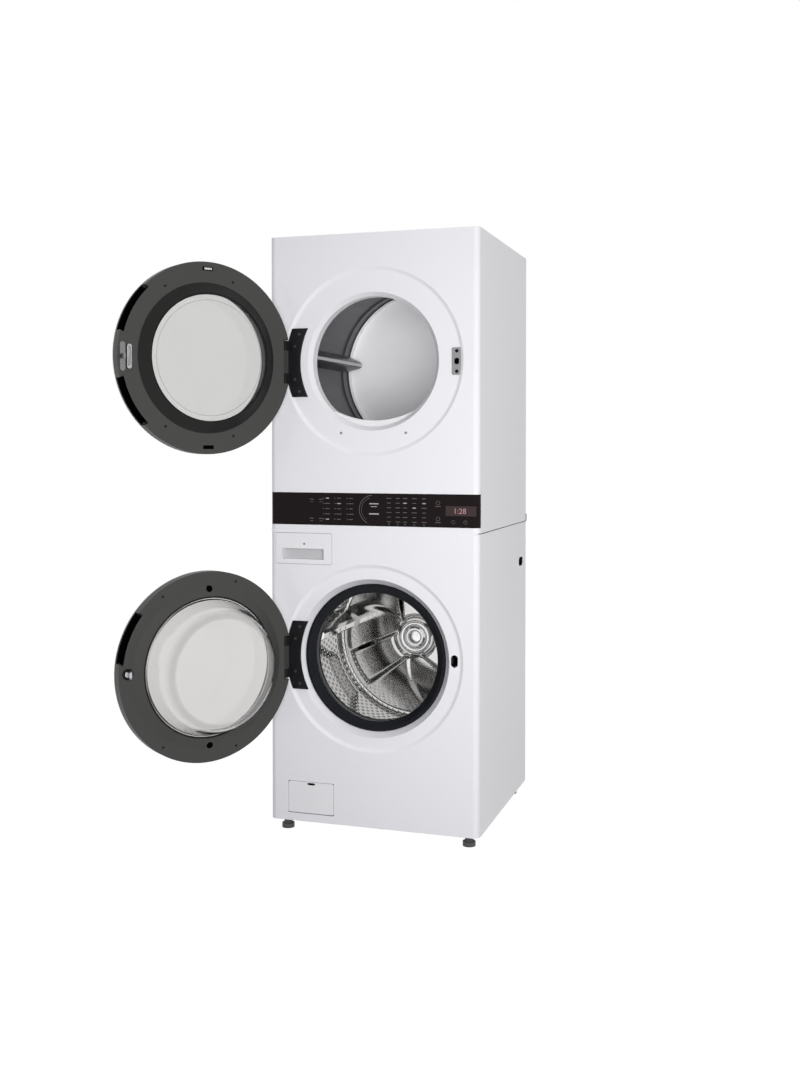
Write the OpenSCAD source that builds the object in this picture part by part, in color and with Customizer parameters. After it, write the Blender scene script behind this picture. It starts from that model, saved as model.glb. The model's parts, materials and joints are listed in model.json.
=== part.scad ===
// Stacked washer and dryer in one tower: a front-loading washer below, a vented dryer above
// and one control panel between them. Both round doors stand open.
// The origin is on the floor at the centre of the cabinet. +X is right, -Y is the front.

/* [Cabinet] */
// Width over the side panels
cab_w = 686; // [676:1:720]
// Depth from the front panels to the back panel
cab_d = 678; // [670:1:720]
// Height of the top panel over the floor
cab_h = 1889; // [1880:1:1960]
// Height of the seam between the washer and the dryer
seam_z = 962; // [956:1:980]
// Room under the cabinet for the feet
foot_gap = 37; // [34:1:44]
// Thickness of the sheet steel
sheet = 1.2; // [0.8:0.1:1.6]
// Radius of the two front corners
corner_r = 20; // [14:1:24]
// Thickness of the plate that the dryer stands on
stack_t = 3; // [2:0.5:5]

/* [Control panel] */
// Height of the glass
glass_h = 102; // [90:1:110]
// Height of the white edge under the glass
bezel_low = 16.5; // [12:0.5:20]
// Height of the white edge over the glass
bezel_high = 10; // [8:0.5:14]
// Thickness of the glass
glass_t = 4; // [3:0.5:5]

/* [Doors] */
// Radius of each door
door_r = 287; // [280:1:289]
// Depth of a door at its rim
door_t = 40; // [38:1:46]
// Angle that the doors stand open
door_open = 126; // [90:1:126]
// Radius of the shallow dish pressed into each front panel
dish_r = 293; // [293:1:300]
// Depth of that dish
dish_depth = 6; // [5:0.5:7]
// Radius of the window in the dryer door
dryer_window_r = 189; // [170:1:190]
// Radius of the window in the washer door
washer_window_r = 209; // [207:1:211]
// Depth of the glass bowl behind its flange
bowl_depth = 92; // [60:1:94]
// Radius of the flat end of the bowl
bowl_end_r = 170; // [120:1:172]
// Distance of the hinge pins from the middle of the door
hinge_x = 280; // [279:1:281]
// Distance of the hinge pins in front of the front panel
hinge_out = 30; // [30:1:32]
// Radius of the hinge pins
pin_r = 4; // [3:0.5:5]

/* [Washer] */
// Height of the washer drum's axis
washer_z = 566; // [560:1:572]
// Radius of the mouth behind the washer door
washer_mouth_r = 232; // [231:1:236]
// Outer radius of the tub
tub_r = 315; // [312:1:318]
// Room between the washer drum and the tub
basket_gap = 33; // [27:1:39]
// Depth of the washer drum
basket_d = 392; // [370:1:396]
// Radius of the drum's mouth
basket_mouth_r = 205; // [204:1:215]
// Radius of the drum shaft
shaft_r = 15; // [12:0.5:18]

/* [Dryer] */
// Height of the dryer drum's axis
dryer_z = 1491; // [1486:1:1500]
// Radius of the opening behind the dryer door
dryer_mouth_r = 203; // [200:1:208]
// Outer radius of the dryer drum
drum_r = 282; // [276:1:288]
// Length of the dryer drum
drum_len = 500; // [480:1:505]
// Radius of the two support rollers
roller_r = 36; // [30:1:40]
// Radius of the exhaust pipe
exhaust_r = 50.8; // [48:0.1:52]
// Width of the lint filter
filter_w = 262; // [220:1:270]
// Height of the filter's grip over the lower lip of the opening
filter_lip = 20; // [12:1:28]

/* [Detergent drawer] */
// Width of the drawer front
drawer_w = 190; // [180:1:200]
// Height of the drawer front
drawer_h = 97; // [90:1:100]
// Depth of the tray behind the front
drawer_d = 250; // [200:1:260]

/* [Feet] */
// Radius of the foot pads
foot_r = 20; // [16:1:24]
// Radius of the threaded stems
stem_r = 5; // [4:0.5:6]

/* [Hidden] */
$fn = 72;

// Clearances
fit = 0.05;      // shaft in its bearing
gap = 0.3;       // between pieces that move past each other
slide_gap = 1;   // drawer and filter in their guides

// Cabinet
hw = cab_w / 2;
fy = -cab_d / 2;
by = cab_d / 2;
side_y = fy + corner_r + 4;
washer_top = seam_z - stack_t / 2;
basket_r = tub_r - basket_gap;
dryer_low = seam_z + stack_t / 2;
glass_low = dryer_low + bezel_low;
glass_top = glass_low + glass_h;
panel_top = glass_top + bezel_high;
flange = 16;

// Feet stand under the four corners
foot_x = hw - 42;
foot_y = cab_d / 2 - 45;
bush_r = stem_r + 8;
bush_h = 24;
pad_h = 14;
nut_r = 13;

// Front dishes
dish_in = dish_r - 5;
dish_y = fy + dish_depth;
washer_funnel_r = washer_mouth_r + 16;
washer_lip_y = fy + 30;
dryer_funnel_r = dryer_mouth_r + 12;
dryer_lip_y = fy + 20;
lip_w = 10;

// Doors, described closed and then swung open about their pins
hinge_y = fy - hinge_out;
door_back = fy - 3;
door_front = door_back - door_t;
arm_h = 36;
ear_in = arm_h + gap;
ear_out = 67;
ear_r = 9;
ear_w = 13;
notch_in = hinge_x - ear_w - 5;
bracket_h = 108;
bracket_r = 240;
skirt = 30;
wall = 2.5;
liner_ring_w = 33;

// Washer inside
tub_wall = 3;
tub_front_y = fy + 64;
tub_front_d = 215;
tub_split_y = tub_front_y + tub_front_d;
counter_y = tub_front_y - 28;
basket_front_y = fy + 77;
basket_back_y = basket_front_y + basket_d;
tub_back_y = basket_back_y + 24;
neck_r = 228;
neck_len = 15;
hub_r = 52;
bearing_r = shaft_r + 17;
bearing_front_y = tub_back_y + 6;
bearing_rear_y = tub_back_y + 30;
bearing_w = 13;
hub_end_y = bearing_rear_y + bearing_w;
stator_y = hub_end_y + 4;
stator_w = 34;
stator_r = 118;
rotor_in = stator_r + 3;
rotor_r = rotor_in + 6;
rotor_end_y = stator_y + stator_w + 10;
gasket_lip_r = washer_window_r - 7;

// Dryer inside
drum_front_y = by - 112 - drum_len;
drum_back_y = by - 112;
bulk_t = 2;
front_bulk_y = drum_front_y - 14;
rear_bulk_y = drum_back_y + 4;
felt_t = 3.4;
drum_wall = 1.2;
roller_x = 150;
roller_z = dryer_z - sqrt(pow(drum_r + gap + roller_r, 2) - roller_x * roller_x);
roller_w = 22;
roller_y = drum_back_y - 46;
axle_r = 6;
belt_y = drum_front_y + 330;
belt_w = 9;
belt_t = 2.4;
motor_x = 205;
motor_z = dryer_low + 105;
pulley_r = 11;
motor_r = 62;
motor_y = belt_y - 32;
motor_len = 150;
blower_r = 92;
blower_y = motor_y - motor_len - 70;
blower_w = 56;

// Lint filter in the lower lip of the dryer's mouth
filter_t = 16;
filter_y = dryer_lip_y + 9;
filter_low = dryer_z - dryer_mouth_r - 115;
filter_grip_r = dryer_mouth_r - filter_lip;
// The grip's top edge is a flatter arc, which ends just over the lip
filter_end = 3;
filter_sag = filter_grip_r + filter_end - sqrt(pow(dryer_mouth_r, 2) - pow(filter_w / 2, 2));
filter_arc_r = (pow(filter_w / 2, 2) + pow(filter_sag, 2)) / (2 * filter_sag);
filter_arc_z = dryer_z - filter_grip_r + filter_arc_r;

// Detergent drawer
drawer_in = 20;
drawer_x = -hw + drawer_in + drawer_w / 2;
drawer_z0 = 856;
tray_x = drawer_x;
tray_w = drawer_w - 24;
tray_h = drawer_h - 22;
box_w = tray_w + 2 * slide_gap + 6;
box_h = tray_h + 14;

// Pump
pump_x = -204;
pump_z = 108;
pump_cover_w = 152;
pump_cover_z0 = 63;
pump_cover_z1 = 163;
pump_cap_r = 30;

// ---- outlines and turning helpers ----

// The cabinet seen from above, drawn in by o, with its two round front corners.
module plan(o = 0) {
    r = corner_r - o;
    translate([-hw + o, fy + corner_r]) square([cab_w - 2 * o, cab_d - corner_r - o]);
    translate([-hw + corner_r, fy + o]) square([cab_w - 2 * corner_r, corner_r + 1]);
    for (s = [-1, 1]) translate([s * (hw - corner_r), fy + corner_r]) circle(r);
}

// A band of the cabinet's outline, from y0 to y1 and z0 to z1, between two insets.
module band(o0, o1, y0, y1, z0, z1) {
    translate([0, 0, z0]) linear_extrude(z1 - z0) intersection() {
        difference() {
            plan(o0);
            plan(o1);
        }
        translate([-hw - 1, y0]) square([cab_w + 2, y1 - y0]);
    }
}

// Turns an outline of (radius, y) about a line along Y at height z.
module about_y(z, x = 0) {
    translate([x, 0, z]) rotate([-90, 0, 0]) rotate_extrude() children();
}

// Pushes an outline of (x, z) from y0 to y1.
module along_y(y0, y1) {
    translate([0, y1, 0]) rotate([90, 0, 0]) linear_extrude(y1 - y0) children();
}

// A plain tube or disc along Y.
module ring_y(r0, r1, y0, y1, z, x = 0) {
    along_y(y0, y1) translate([x, z]) difference() {
        circle(r1);
        if (r0 > 0) circle(r0);
    }
}

// A rectangle with round corners, centred.
module soft_rect(w, h, r) {
    square([w - 2 * r, h], center = true);
    square([w, h - 2 * r], center = true);
    for (x = [-1, 1], y = [-1, 1]) translate([x * (w / 2 - r), y * (h / 2 - r)]) circle(r);
}

// A block from one corner to the other.
module block(a, b) {
    translate(a) cube(b - a);
}

// Swings a closed door open about its pins.
module swung() {
    translate([-hinge_x, hinge_y, 0]) rotate([0, 0, -door_open])
        translate([hinge_x, -hinge_y, 0]) children();
}

// ---- cabinet ----

module foot_places() {
    for (sx = [-1, 1], sy = [-1, 1]) translate([sx * foot_x, sy * foot_y, 0]) children();
}

module base_pan() color("silver") {
    difference() {
        union() {
            translate([0, 0, foot_gap]) linear_extrude(sheet) plan(sheet);
            band(sheet, 2 * sheet, fy, by, foot_gap, foot_gap + 22);
            foot_places() translate([0, 0, foot_gap]) cylinder(r = bush_r, h = bush_h);
            // pressed stiffening beads between the feet
            for (x = [-150, 0, 150]) translate([x - 12, -230, foot_gap]) cube([24, 460, 6]);
        }
        foot_places() translate([0, 0, foot_gap - 1]) cylinder(r = stem_r + fit, h = bush_h + 2);
        for (x = [-150, 0, 150]) translate([x - 9, -227, foot_gap - 1]) cube([18, 454, 5]);
    }
}

// Side walls, back wall and front returns folded from one sheet.
module wrapper(z0, z1) {
    band(0, sheet, side_y, by, z0, z1);
    for (s = [-1, 1]) translate([s * (hw - flange / 2), side_y + sheet / 2, (z0 + 24 + z1) / 2])
        cube([flange, sheet, z1 - z0 - 24], center = true);
}

hand_y = 257;
hand_z = 826;
module hand_hole() {
    translate([0, hand_y, hand_z]) rotate([0, 90, 0]) linear_extrude(cab_w + 2, center = true)
        soft_rect(30, 66, 14.9);
}

valve_z = 905;
valve_x = [200, 262];
valve_pipe_r = 13.2;
drain_x = 290;
drain_z = 790;
drain_r = 14;
washer_hatch = [470, 520];
dryer_hatch = [420, 380];
module washer_cabinet() color("white") difference() {
    wrapper(foot_gap, washer_top);
    hand_hole();
    along_y(by - 5, by + 1) {
        translate([0, washer_z - 30]) soft_rect(washer_hatch[0], washer_hatch[1], 30);
        for (x = valve_x) translate([x, valve_z]) circle(valve_pipe_r + 1);
        translate([drain_x, drain_z]) circle(drain_r + 1);
    }
}

module dryer_cabinet() color("white") difference() {
    wrapper(dryer_low, cab_h - sheet);
    along_y(by - 5, by + 1) {
        translate([0, dryer_z]) soft_rect(dryer_hatch[0], dryer_hatch[1], 30);
        translate([0, exhaust_z]) circle(exhaust_r + 1);
        translate([terminal_x, terminal_z]) soft_rect(60, 30, 4);
    }
}

// Pressed covers over the service openings, ribbed and screwed to the back wall.
module hatch(w, h, z) {
    cover_w = w + 30;
    cover_h = h + 30;
    difference() {
        union() {
            along_y(by, by + sheet) translate([0, z]) soft_rect(cover_w, cover_h, 12);
            along_y(by + sheet, by + 6) translate([0, z]) soft_rect(cover_w - 60, cover_h - 60, 24);
        }
        along_y(by - 1, by + 6 - sheet) translate([0, z])
            soft_rect(cover_w - 60 - 2 * sheet, cover_h - 60 - 2 * sheet, 23);
        for (i = [-3:3]) along_y(by, by + 7) translate([i * w / 10, z]) soft_rect(8, h / 4, 3.9);
    }
}

module hatch_screws(w, h, z) {
    for (x = [-1, 0, 1], s = [-1, 1])
        ring_y(0, 5, by + sheet, by + sheet + 3, z + s * (h / 2 + 6), x * (w / 2 - 20));
}

module back_covers() color("lightgray") {
    hatch(washer_hatch[0], washer_hatch[1], washer_z - 30);
    hatch_screws(washer_hatch[0], washer_hatch[1], washer_z - 30);
    hatch(dryer_hatch[0], dryer_hatch[1], dryer_z);
    hatch_screws(dryer_hatch[0], dryer_hatch[1], dryer_z);
}

// Steel plate between the machines, with two hooks that stand up behind the dryer.
module stack_plate() color("dimgray") {
    translate([0, 0, washer_top]) linear_extrude(stack_t) difference() {
        plan(2);
        translate([-hw + 60, fy + 90]) square([hw + 20, rear_bulk_y - fy - 130]);
    }
    for (s = [-1, 1]) {
        translate([s * (hw - 22), by + 9, seam_z]) cube([40, 22, stack_t], center = true);
        translate([s * (hw - 22), by + 20 + stack_t / 2, dryer_low + 10])
            cube([40, stack_t, 23 + stack_t], center = true);
    }
}

// Lid with a skirt that slips inside the dryer's walls.
module top_panel() color("white") {
    translate([0, 0, cab_h - sheet]) linear_extrude(sheet) plan(0);
    band(sheet, 2 * sheet, side_y + 2, by, cab_h - 24, cab_h - sheet);
    for (x = [-220, 0, 220]) translate([x - 30, -260, cab_h - sheet - 6]) cube([60, 520, 6]);
}

// The shallow round dish with its funnel, pressed into a front panel.
module dish(z, funnel_r, mouth_r, lip_y, inward, back) {
    about_y(z) polygon([[dish_r + 5, fy], [dish_r, fy], [dish_in, dish_y], [funnel_r, dish_y],
        [mouth_r, lip_y], [mouth_r - inward, lip_y], [mouth_r - inward, lip_y + back],
        [mouth_r + sheet, lip_y + back], [mouth_r + sheet, lip_y],
        [funnel_r + sheet, dish_y + sheet],
        [dish_in + sheet / 2, dish_y + sheet], [dish_r + sheet / 2, fy + sheet],
        [dish_r + 5, fy + sheet]]);
}

module pressed_front(z0, z1, axis_z) {
    difference() {
        band(0, sheet, fy - 1, side_y, z0, z1);
        ring_y(0, dish_r + 5, fy - 1, fy + 5, axis_z);
    }
}

lock_z = washer_z + 6;
lock_x = 264;
latch_x = 271;
latch_z = dryer_z - 5;
module washer_front() color("white") {
    pump_pins();
    difference() {
        union() {
            pressed_front(foot_gap, washer_top, washer_z);
            dish(washer_z, washer_funnel_r, washer_mouth_r, washer_lip_y, lip_w, sheet);
        }
        along_y(fy - 1, fy + 12) {
            translate([drawer_x, drawer_z0 + drawer_h / 2])
                soft_rect(drawer_w + 2 * slide_gap, drawer_h + 2 * slide_gap, 4);
            translate([lock_x, lock_z]) soft_rect(22, 38, 10.9);
            translate([pump_x, (pump_cover_z0 + pump_cover_z1) / 2])
                soft_rect(pump_cover_w + 2 * slide_gap,
                    pump_cover_z1 - pump_cover_z0 + 2 * slide_gap, 2);
        }
    }
}

module dryer_front() color("white") difference() {
    union() {
        pressed_front(panel_top, cab_h - sheet, dryer_z);
        dish(dryer_z, dryer_funnel_r, dryer_mouth_r, dryer_lip_y, 0, sheet);
    }
    along_y(fy - 1, fy + 12) translate([latch_x, latch_z]) soft_rect(26, 74, 4);
}

// ---- control panel ----

module control_bezel() color("white") {
    band(0, glass_t, fy - 1, side_y, dryer_low, glass_low);
    band(0, glass_t, fy - 1, side_y, glass_top, panel_top);
    band(glass_t, glass_t + wall, fy - 1, side_y, dryer_low, panel_top);
    // the strips that close the ends of the glass behind the corners
    band(0, glass_t, side_y - 4, side_y, glass_low - 1, glass_top + 1);
}

module control_glass() color([0.1, 0.08, 0.09]) band(0, glass_t, fy - 1, side_y - 4, glass_low, glass_top);

board_y = fy + glass_t + wall;
board_in = 40;
display_w = 150;
plug_w = 12;
module control_board() color("darkgreen") {
    x1 = hw - board_in;
    block([-x1, board_y, glass_low + 4], [x1, board_y + 2, glass_top - 4]);
    // display module, key block and connectors
    block([x1 - display_w, board_y + 2, glass_low + 20], [x1, board_y + 14, glass_top - 20]);
    block([-x1 + 63, board_y + 2, glass_low + 16], [x1 - display_w - 60, board_y + 8, glass_top - 16]);
    for (x = [-x1 + 13, -x1 + 41, x1 - display_w - 40, x1 - display_w - 22])
        block([x, board_y + 2, glass_low + 30], [x + plug_w, board_y + 16, glass_low + 62]);
}

// ---- water path of the washer ----

box_x0 = tray_x - box_w / 2;
box_z0 = drawer_z0 + 8;
box_y0 = fy + 10;
box_y1 = fy + sheet + drawer_d + 30;
module dispenser_box() color("white") {
    difference() {
        block([box_x0, box_y0, box_z0], [box_x0 + box_w, box_y1, box_z0 + box_h]);
        block([box_x0 + 2, fy, box_z0 + 2], [box_x0 + box_w - 2, box_y1 - 12, box_z0 + box_h - 3]);
        translate([tray_x, box_y1 - 20, box_z0 - 1]) cylinder(r = 14, h = 12);
    }
    // collar behind the front panel, round the drawer's front
    intersection() {
        along_y(fy + sheet, box_y0 + 2) translate([drawer_x, drawer_z0 + drawer_h / 2]) difference() {
            square([drawer_w + 8, drawer_h + 8], center = true);
            square([drawer_w + 2 * slide_gap, drawer_h + 2 * slide_gap], center = true);
        }
        linear_extrude(cab_h) plan(sheet + fit);
    }
    along_y(box_y0, box_y0 + 2) difference() {
        translate([drawer_x, drawer_z0 + drawer_h / 2]) square([drawer_w + 8, drawer_h + 8], center = true);
        translate([box_x0 + 1, box_z0 + 1]) square([box_w - 2, box_h - 2]);
    }
}

// Two threaded inlets with their valves, and the drain outlet, seated on the back wall.
port_out = 20;
module water_ports() color("gainsboro") {
    for (x = valve_x) {
        ring_y(8, valve_pipe_r, by - 40, by + port_out, valve_z, x);
        ring_y(valve_pipe_r - 1, valve_pipe_r + 5, by, by + 2, valve_z, x);
        block([x - 18, by - 72, valve_z - 20], [x + 18, by - 40, valve_z + 20]);
        translate([x, by - 56, valve_z - 44]) cylinder(r = 12, h = 26);
    }
    ring_y(drain_r - 5, drain_r, by - 8, by + port_out, drain_z, drain_x);
    ring_y(drain_r - 1, drain_r + 6, by, by + 2, drain_z, drain_x);
}

// A hose through a list of points, with an elbow at each bend.
module hose(points, r) {
    for (i = [0:len(points) - 2]) {
        a = points[i];
        d = points[i + 1] - a;
        translate(a) rotate([0, acos(d[2] / norm(d)), atan2(d[1], d[0])])
            cylinder(r = r, h = norm(d));
        if (i > 0) translate(a) sphere(r + 0.8);
    }
}

sump_y = tub_split_y - 60;
pump_y0 = fy + 52;
module inner_hoses() color("dimgray") {
    // valves to the dispenser box
    hose([[valve_x[0], by - 72, valve_z], [valve_x[0], by - 110, valve_z],
        [tray_x + 40, box_y1 + 60, valve_z], [tray_x + 40, box_y1, valve_z]], 7);
    // pump to the drain outlet on the back
    hose([[pump_x + 60, pump_y0 + 150, pump_z + 10], [pump_x + 60, pump_y0 + 210, pump_z + 10],
        [drain_x, by - 150, 180], [drain_x, by - 60, 300], [drain_x, by - 60, drain_z],
        [drain_x, by - 8, drain_z]], 10);
}

// ---- washer tub and drum ----

module tub_ribs(n, r0, r1, y0, y1) {
    for (i = [0:n - 1]) translate([0, 0, washer_z]) rotate([0, (i + 0.5) * 360 / n, 0])
        block([r0, y0, -2], [r1, y1, 2]);
}

sump_r = 26;
sump_x = -90;
sump_z = washer_z - tub_r - 16;
module tub_front() color("whitesmoke") difference() {
    union() {
        about_y(washer_z) polygon([[neck_r - 4, tub_front_y - neck_len],
            [neck_r, tub_front_y - neck_len], [neck_r, tub_front_y], [tub_r - 14, tub_front_y],
            [tub_r, tub_front_y + 14], [tub_r, tub_split_y - 6], [tub_r + 8, tub_split_y - 6],
            [tub_r + 8, tub_split_y], [tub_r - tub_wall, tub_split_y],
            [tub_r - tub_wall, tub_front_y + 15], [tub_r - 15, tub_front_y + tub_wall],
            [neck_r - 4, tub_front_y + tub_wall]]);
        // sump outlet at the bottom
        translate([sump_x, sump_y, sump_z]) cylinder(r = sump_r, h = 60);
    }
    translate([sump_x, sump_y, sump_z - 1]) cylinder(r = sump_r - 3, h = 90);
    ring_y(0, tub_r - tub_wall, tub_front_y + 20, tub_split_y + 1, washer_z);
}

module tub_rear() color("whitesmoke") difference() {
    union() {
        about_y(washer_z) polygon([[bearing_r, tub_back_y], [tub_r - 12, tub_back_y],
            [tub_r - tub_wall, tub_back_y - 9], [tub_r - tub_wall, tub_split_y],
            [tub_r + 8, tub_split_y], [tub_r + 8, tub_split_y + 6], [tub_r, tub_split_y + 6],
            [tub_r, tub_back_y - 8], [tub_r - 10, tub_back_y + 4], [hub_r, tub_back_y + 4],
            [hub_r, hub_end_y], [bearing_r, hub_end_y]]);
        tub_ribs(12, hub_r - 5, tub_r - 14, tub_back_y + 3, tub_back_y + 20);
        // lugs that the springs hook into and the dampers pin to
        for (s = [-1, 1]) translate([s * spring_x, tub_lug_y, spring_low_z - 15])
            cube([12, 20, 70], center = true);
        for (s = [-1, 1]) translate([s * damper_x, tub_lug_y, damper_top_z + 10])
            cube([16, 16, 66], center = true);
    }
    ring_y(0, tub_r - tub_wall, tub_split_y - 1, tub_back_y - 9, washer_z);
    for (s = [-1, 1]) ring_y(0, 5 + fit, tub_lug_y - 30, tub_lug_y + 30, damper_top_z - 14, s * damper_x);
    for (s = [-1, 1]) ring_y(0, 4 + fit, tub_lug_y - 30, tub_lug_y + 30, spring_low_z + 12, s * spring_x);
}

module drum_bearings() color("silver") for (y = [bearing_front_y, bearing_rear_y])
    ring_y(shaft_r + fit, bearing_r, y, y + bearing_w, washer_z);

// Two cast blocks, each a part of a ring, on the face of the tub.
counter_w = 45;
module counterweights() color("gray") for (s = [0, 1]) {
    along_y(counter_y, tub_front_y) translate([0, washer_z]) difference() {
        circle(washer_funnel_r + 4 + counter_w);
        circle(washer_funnel_r + 4);
        rotate(180 * s) translate([-tub_r, -tub_r]) square([2 * tub_r, tub_r + 40]);
    }
}

spring_in = 79;
spring_x = tub_r - spring_in;
spring_coil_r = 11;
spring_low_z = washer_z + tub_r - spring_in;
spring_top_z = washer_top - 12;
damper_x = tub_r - 125;
damper_top_z = washer_z - tub_r + 44;
tub_lug_y = tub_split_y + 60;
coil_turns = 9;
hook_z = spring_low_z + 12;

// One ring of a tube along a helix: its centre, then its six corners.
function helix_ring(a, r, z, w) = [for (k = [0:60:300])
    [(r + w * cos(k)) * cos(a), (r + w * cos(k)) * sin(a), z + w * sin(k)]];
module coil(r, w, z0, z1, turns, steps) {
    rings = [for (i = [0:turns * steps]) helix_ring(i * 360 / steps, r,
        z0 + (z1 - z0) * i / (turns * steps), w)];
    n = len(rings);
    polyhedron(points = [for (g = rings) each g], faces = concat([[5, 4, 3, 2, 1, 0]],
        [for (i = [0:n - 2], k = [0:5]) [i * 6 + k, i * 6 + (k + 1) % 6, i * 6 + 6 + (k + 1) % 6,
            i * 6 + 6 + k]], [[for (k = [0:5]) (n - 1) * 6 + k]]));
}

// Springs hang the tub from the top of the cabinet; dampers brace it to the base.
module tub_suspension() color("darkgray") for (s = [-1, 1]) {
    translate([s * spring_x, tub_lug_y, 0]) {
        translate([0, 0, hook_z + 22]) coil(spring_coil_r, 1.8, 3, spring_top_z - hook_z - 35, coil_turns, 8);
        translate([0, 0, spring_top_z - 14]) cylinder(r = spring_coil_r + 2, h = 20);
        translate([0, 0, hook_z + 10]) cylinder(r = spring_coil_r + 2, h = 17);
    }
    // hanger on the side wall
    translate([s * (spring_x + hw - sheet) / 2, tub_lug_y, spring_top_z])
        cube([hw - sheet - spring_x, 24, 12], center = true);
    ring_y(0, 4, tub_lug_y - 16, tub_lug_y + 16, hook_z, s * spring_x);
    for (e = [-1, 1]) block([s * spring_x - 3, tub_lug_y + e * 13 - 2.5, hook_z - 6],
        [s * spring_x + 3, tub_lug_y + e * 13 + 2.5, hook_z + 12]);
    translate([s * damper_x, tub_lug_y, foot_gap + sheet]) cylinder(r = 18, h = 4);
    translate([s * damper_x, tub_lug_y, foot_gap + sheet]) cylinder(r = 12, h = 90);
    translate([s * damper_x, tub_lug_y, foot_gap + 40]) cylinder(r = 6, h = damper_top_z - foot_gap - 76);
    for (e = [-1, 1]) block([s * damper_x - 8, tub_lug_y + e * 12 - 3, damper_top_z - 44],
        [s * damper_x + 8, tub_lug_y + e * 12 + 3, damper_top_z - 2]);
    translate([s * damper_x, tub_lug_y, damper_top_z - 41]) cube([16, 30, 10], center = true);
    ring_y(0, 5, tub_lug_y - 15, tub_lug_y + 15, damper_top_z - 14, s * damper_x);
}

// Rubber bellows between the front panel's mouth and the tub's neck.
flange_r = washer_mouth_r - lip_w;
neck_y = tub_front_y - neck_len;
module door_gasket() color([0.12, 0.13, 0.15]) about_y(washer_z) polygon([
    // the lip that seals on the bowl, and the head that grips the mouth's flange
    [flange_r, washer_lip_y], [washer_mouth_r - 1, washer_lip_y],
    [washer_mouth_r - 1, washer_lip_y - 4], [flange_r - 3, washer_lip_y - 7],
    [gasket_lip_r, washer_lip_y + 5], [gasket_lip_r + 1, washer_lip_y + 8.5],
    [flange_r - 8, washer_lip_y + 2],
    // the fold, and the cuff on the tub's neck
    [flange_r - 8, neck_y - 5.5], [neck_r + 4.5, neck_y - 5.5], [neck_r + 4.5, neck_y + 1],
    [neck_r, neck_y + 1], [neck_r, tub_front_y - 2], [neck_r + 4, tub_front_y - 2],
    [neck_r + 4, neck_y + 4.5], [neck_r + 8, neck_y + 4.5], [neck_r + 8, neck_y - 9],
    [flange_r - 4.5, neck_y - 9], [flange_r - 4.5, washer_lip_y + 6],
    [washer_mouth_r - 3, washer_lip_y + 6], [washer_mouth_r - 3, washer_lip_y + sheet],
    [flange_r, washer_lip_y + sheet]]);

module gasket_clamp() color("silver")
    ring_y(neck_r + 4, neck_r + 6, neck_y + 6, tub_front_y - 4, washer_z);

// Spun steel drum with pressed ribs, a dished back and its spider and shaft behind.
module washer_basket() color("silver") difference() {
    union() {
        about_y(washer_z) polygon([[basket_mouth_r, basket_front_y + 6],
            [basket_mouth_r + 3, basket_front_y], [basket_r - 20, basket_front_y + 10],
            [basket_r, basket_front_y + 34], [basket_r, basket_back_y],
            [100, basket_back_y], [80, basket_back_y + 8], [shaft_r, basket_back_y + 8],
            [shaft_r, rotor_end_y + 6], [0, rotor_end_y + 6], [0, basket_back_y - 16],
            [30, basket_back_y - 16], [54, basket_back_y - 8], [70, basket_back_y - 2],
            [96, basket_back_y - 2], [basket_r - 2, basket_back_y - 2],
            [basket_r - 2, basket_front_y + 35], [basket_r - 21, basket_front_y + 12.5],
            [basket_mouth_r + 4, basket_front_y + 2.5], [basket_mouth_r + 1, basket_front_y + 7]]);
        // the three arms of the spider, cast behind the drum
        for (i = [0:2]) translate([0, 0, washer_z]) rotate([0, 90 + i * 120, 0])
            difference() {
                block([20, basket_back_y - 1, -14], [basket_r - 8, basket_back_y + 16, 14]);
                translate([basket_r * 0.53, basket_back_y + 22, -20]) rotate([0, 0, -6])
                    cube([basket_r * 0.64, 20, 40]);
            }
    }
    ring_y(0, 4, rotor_end_y - 8, rotor_end_y + 8, washer_z);
}

// Hollow paddles screwed inside the drum, wider at their foot.
lifter_h = 62;
lifter_w = 44;
lifter_t = 2;
lifter_at = 70;
// Section of a paddle of half width w that stands h in from radius r, drawn in by o.
module paddle(r, h, w, o) polygon([for (s = [-1, 1], k = s < 0 ? [0:3] : [3:-1:0])
    let (half = [1, 0.76, 0.38, 0.18][k], high = [0, 0.3, 0.86, 1][k])
    [r - h * high + o * (k > 1 ? 1 : 0), s * (w * half - o)]]);
module washer_lifters() color("silver") for (i = [0:2])
    translate([0, 0, washer_z]) rotate([0, lifter_at + i * 120, 0]) difference() {
        intersection() {
            along_y(basket_front_y + 44, basket_back_y - 14) paddle(basket_r, lifter_h, lifter_w, 0);
            ring_y(0, basket_r - 2, basket_front_y, basket_back_y, 0);
            // the ends slope in towards the middle of the drum
            linear_extrude(200, center = true) polygon([[basket_r + 10, basket_front_y + 30],
                [basket_r - lifter_h - 5, basket_front_y + 74],
                [basket_r - lifter_h - 5, basket_back_y - 34], [basket_r + 10, basket_back_y - 8]]);
        }
        along_y(basket_front_y + 72, basket_back_y - 36) paddle(basket_r, lifter_h, lifter_w, lifter_t);
        for (y = [basket_front_y + 120:50:basket_back_y - 100])
            translate([basket_r - lifter_h - 1, y, 0]) rotate([0, 90, 0]) cylinder(r = 4, h = 12);
    }

module motor_stator() color("orangered") {
    difference() {
        union() {
            ring_y(hub_r - 6, 92, hub_end_y, hub_end_y + 6, washer_z);
            ring_y(84, stator_r, stator_y, stator_y + stator_w, washer_z);
        }
        // the slots between the poles
        for (i = [0:35]) translate([0, 0, washer_z]) rotate([0, i * 10, 0])
            block([100, stator_y - 1, -2.5], [stator_r + 2, stator_y + stator_w + 1, 2.5]);
    }
}

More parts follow.
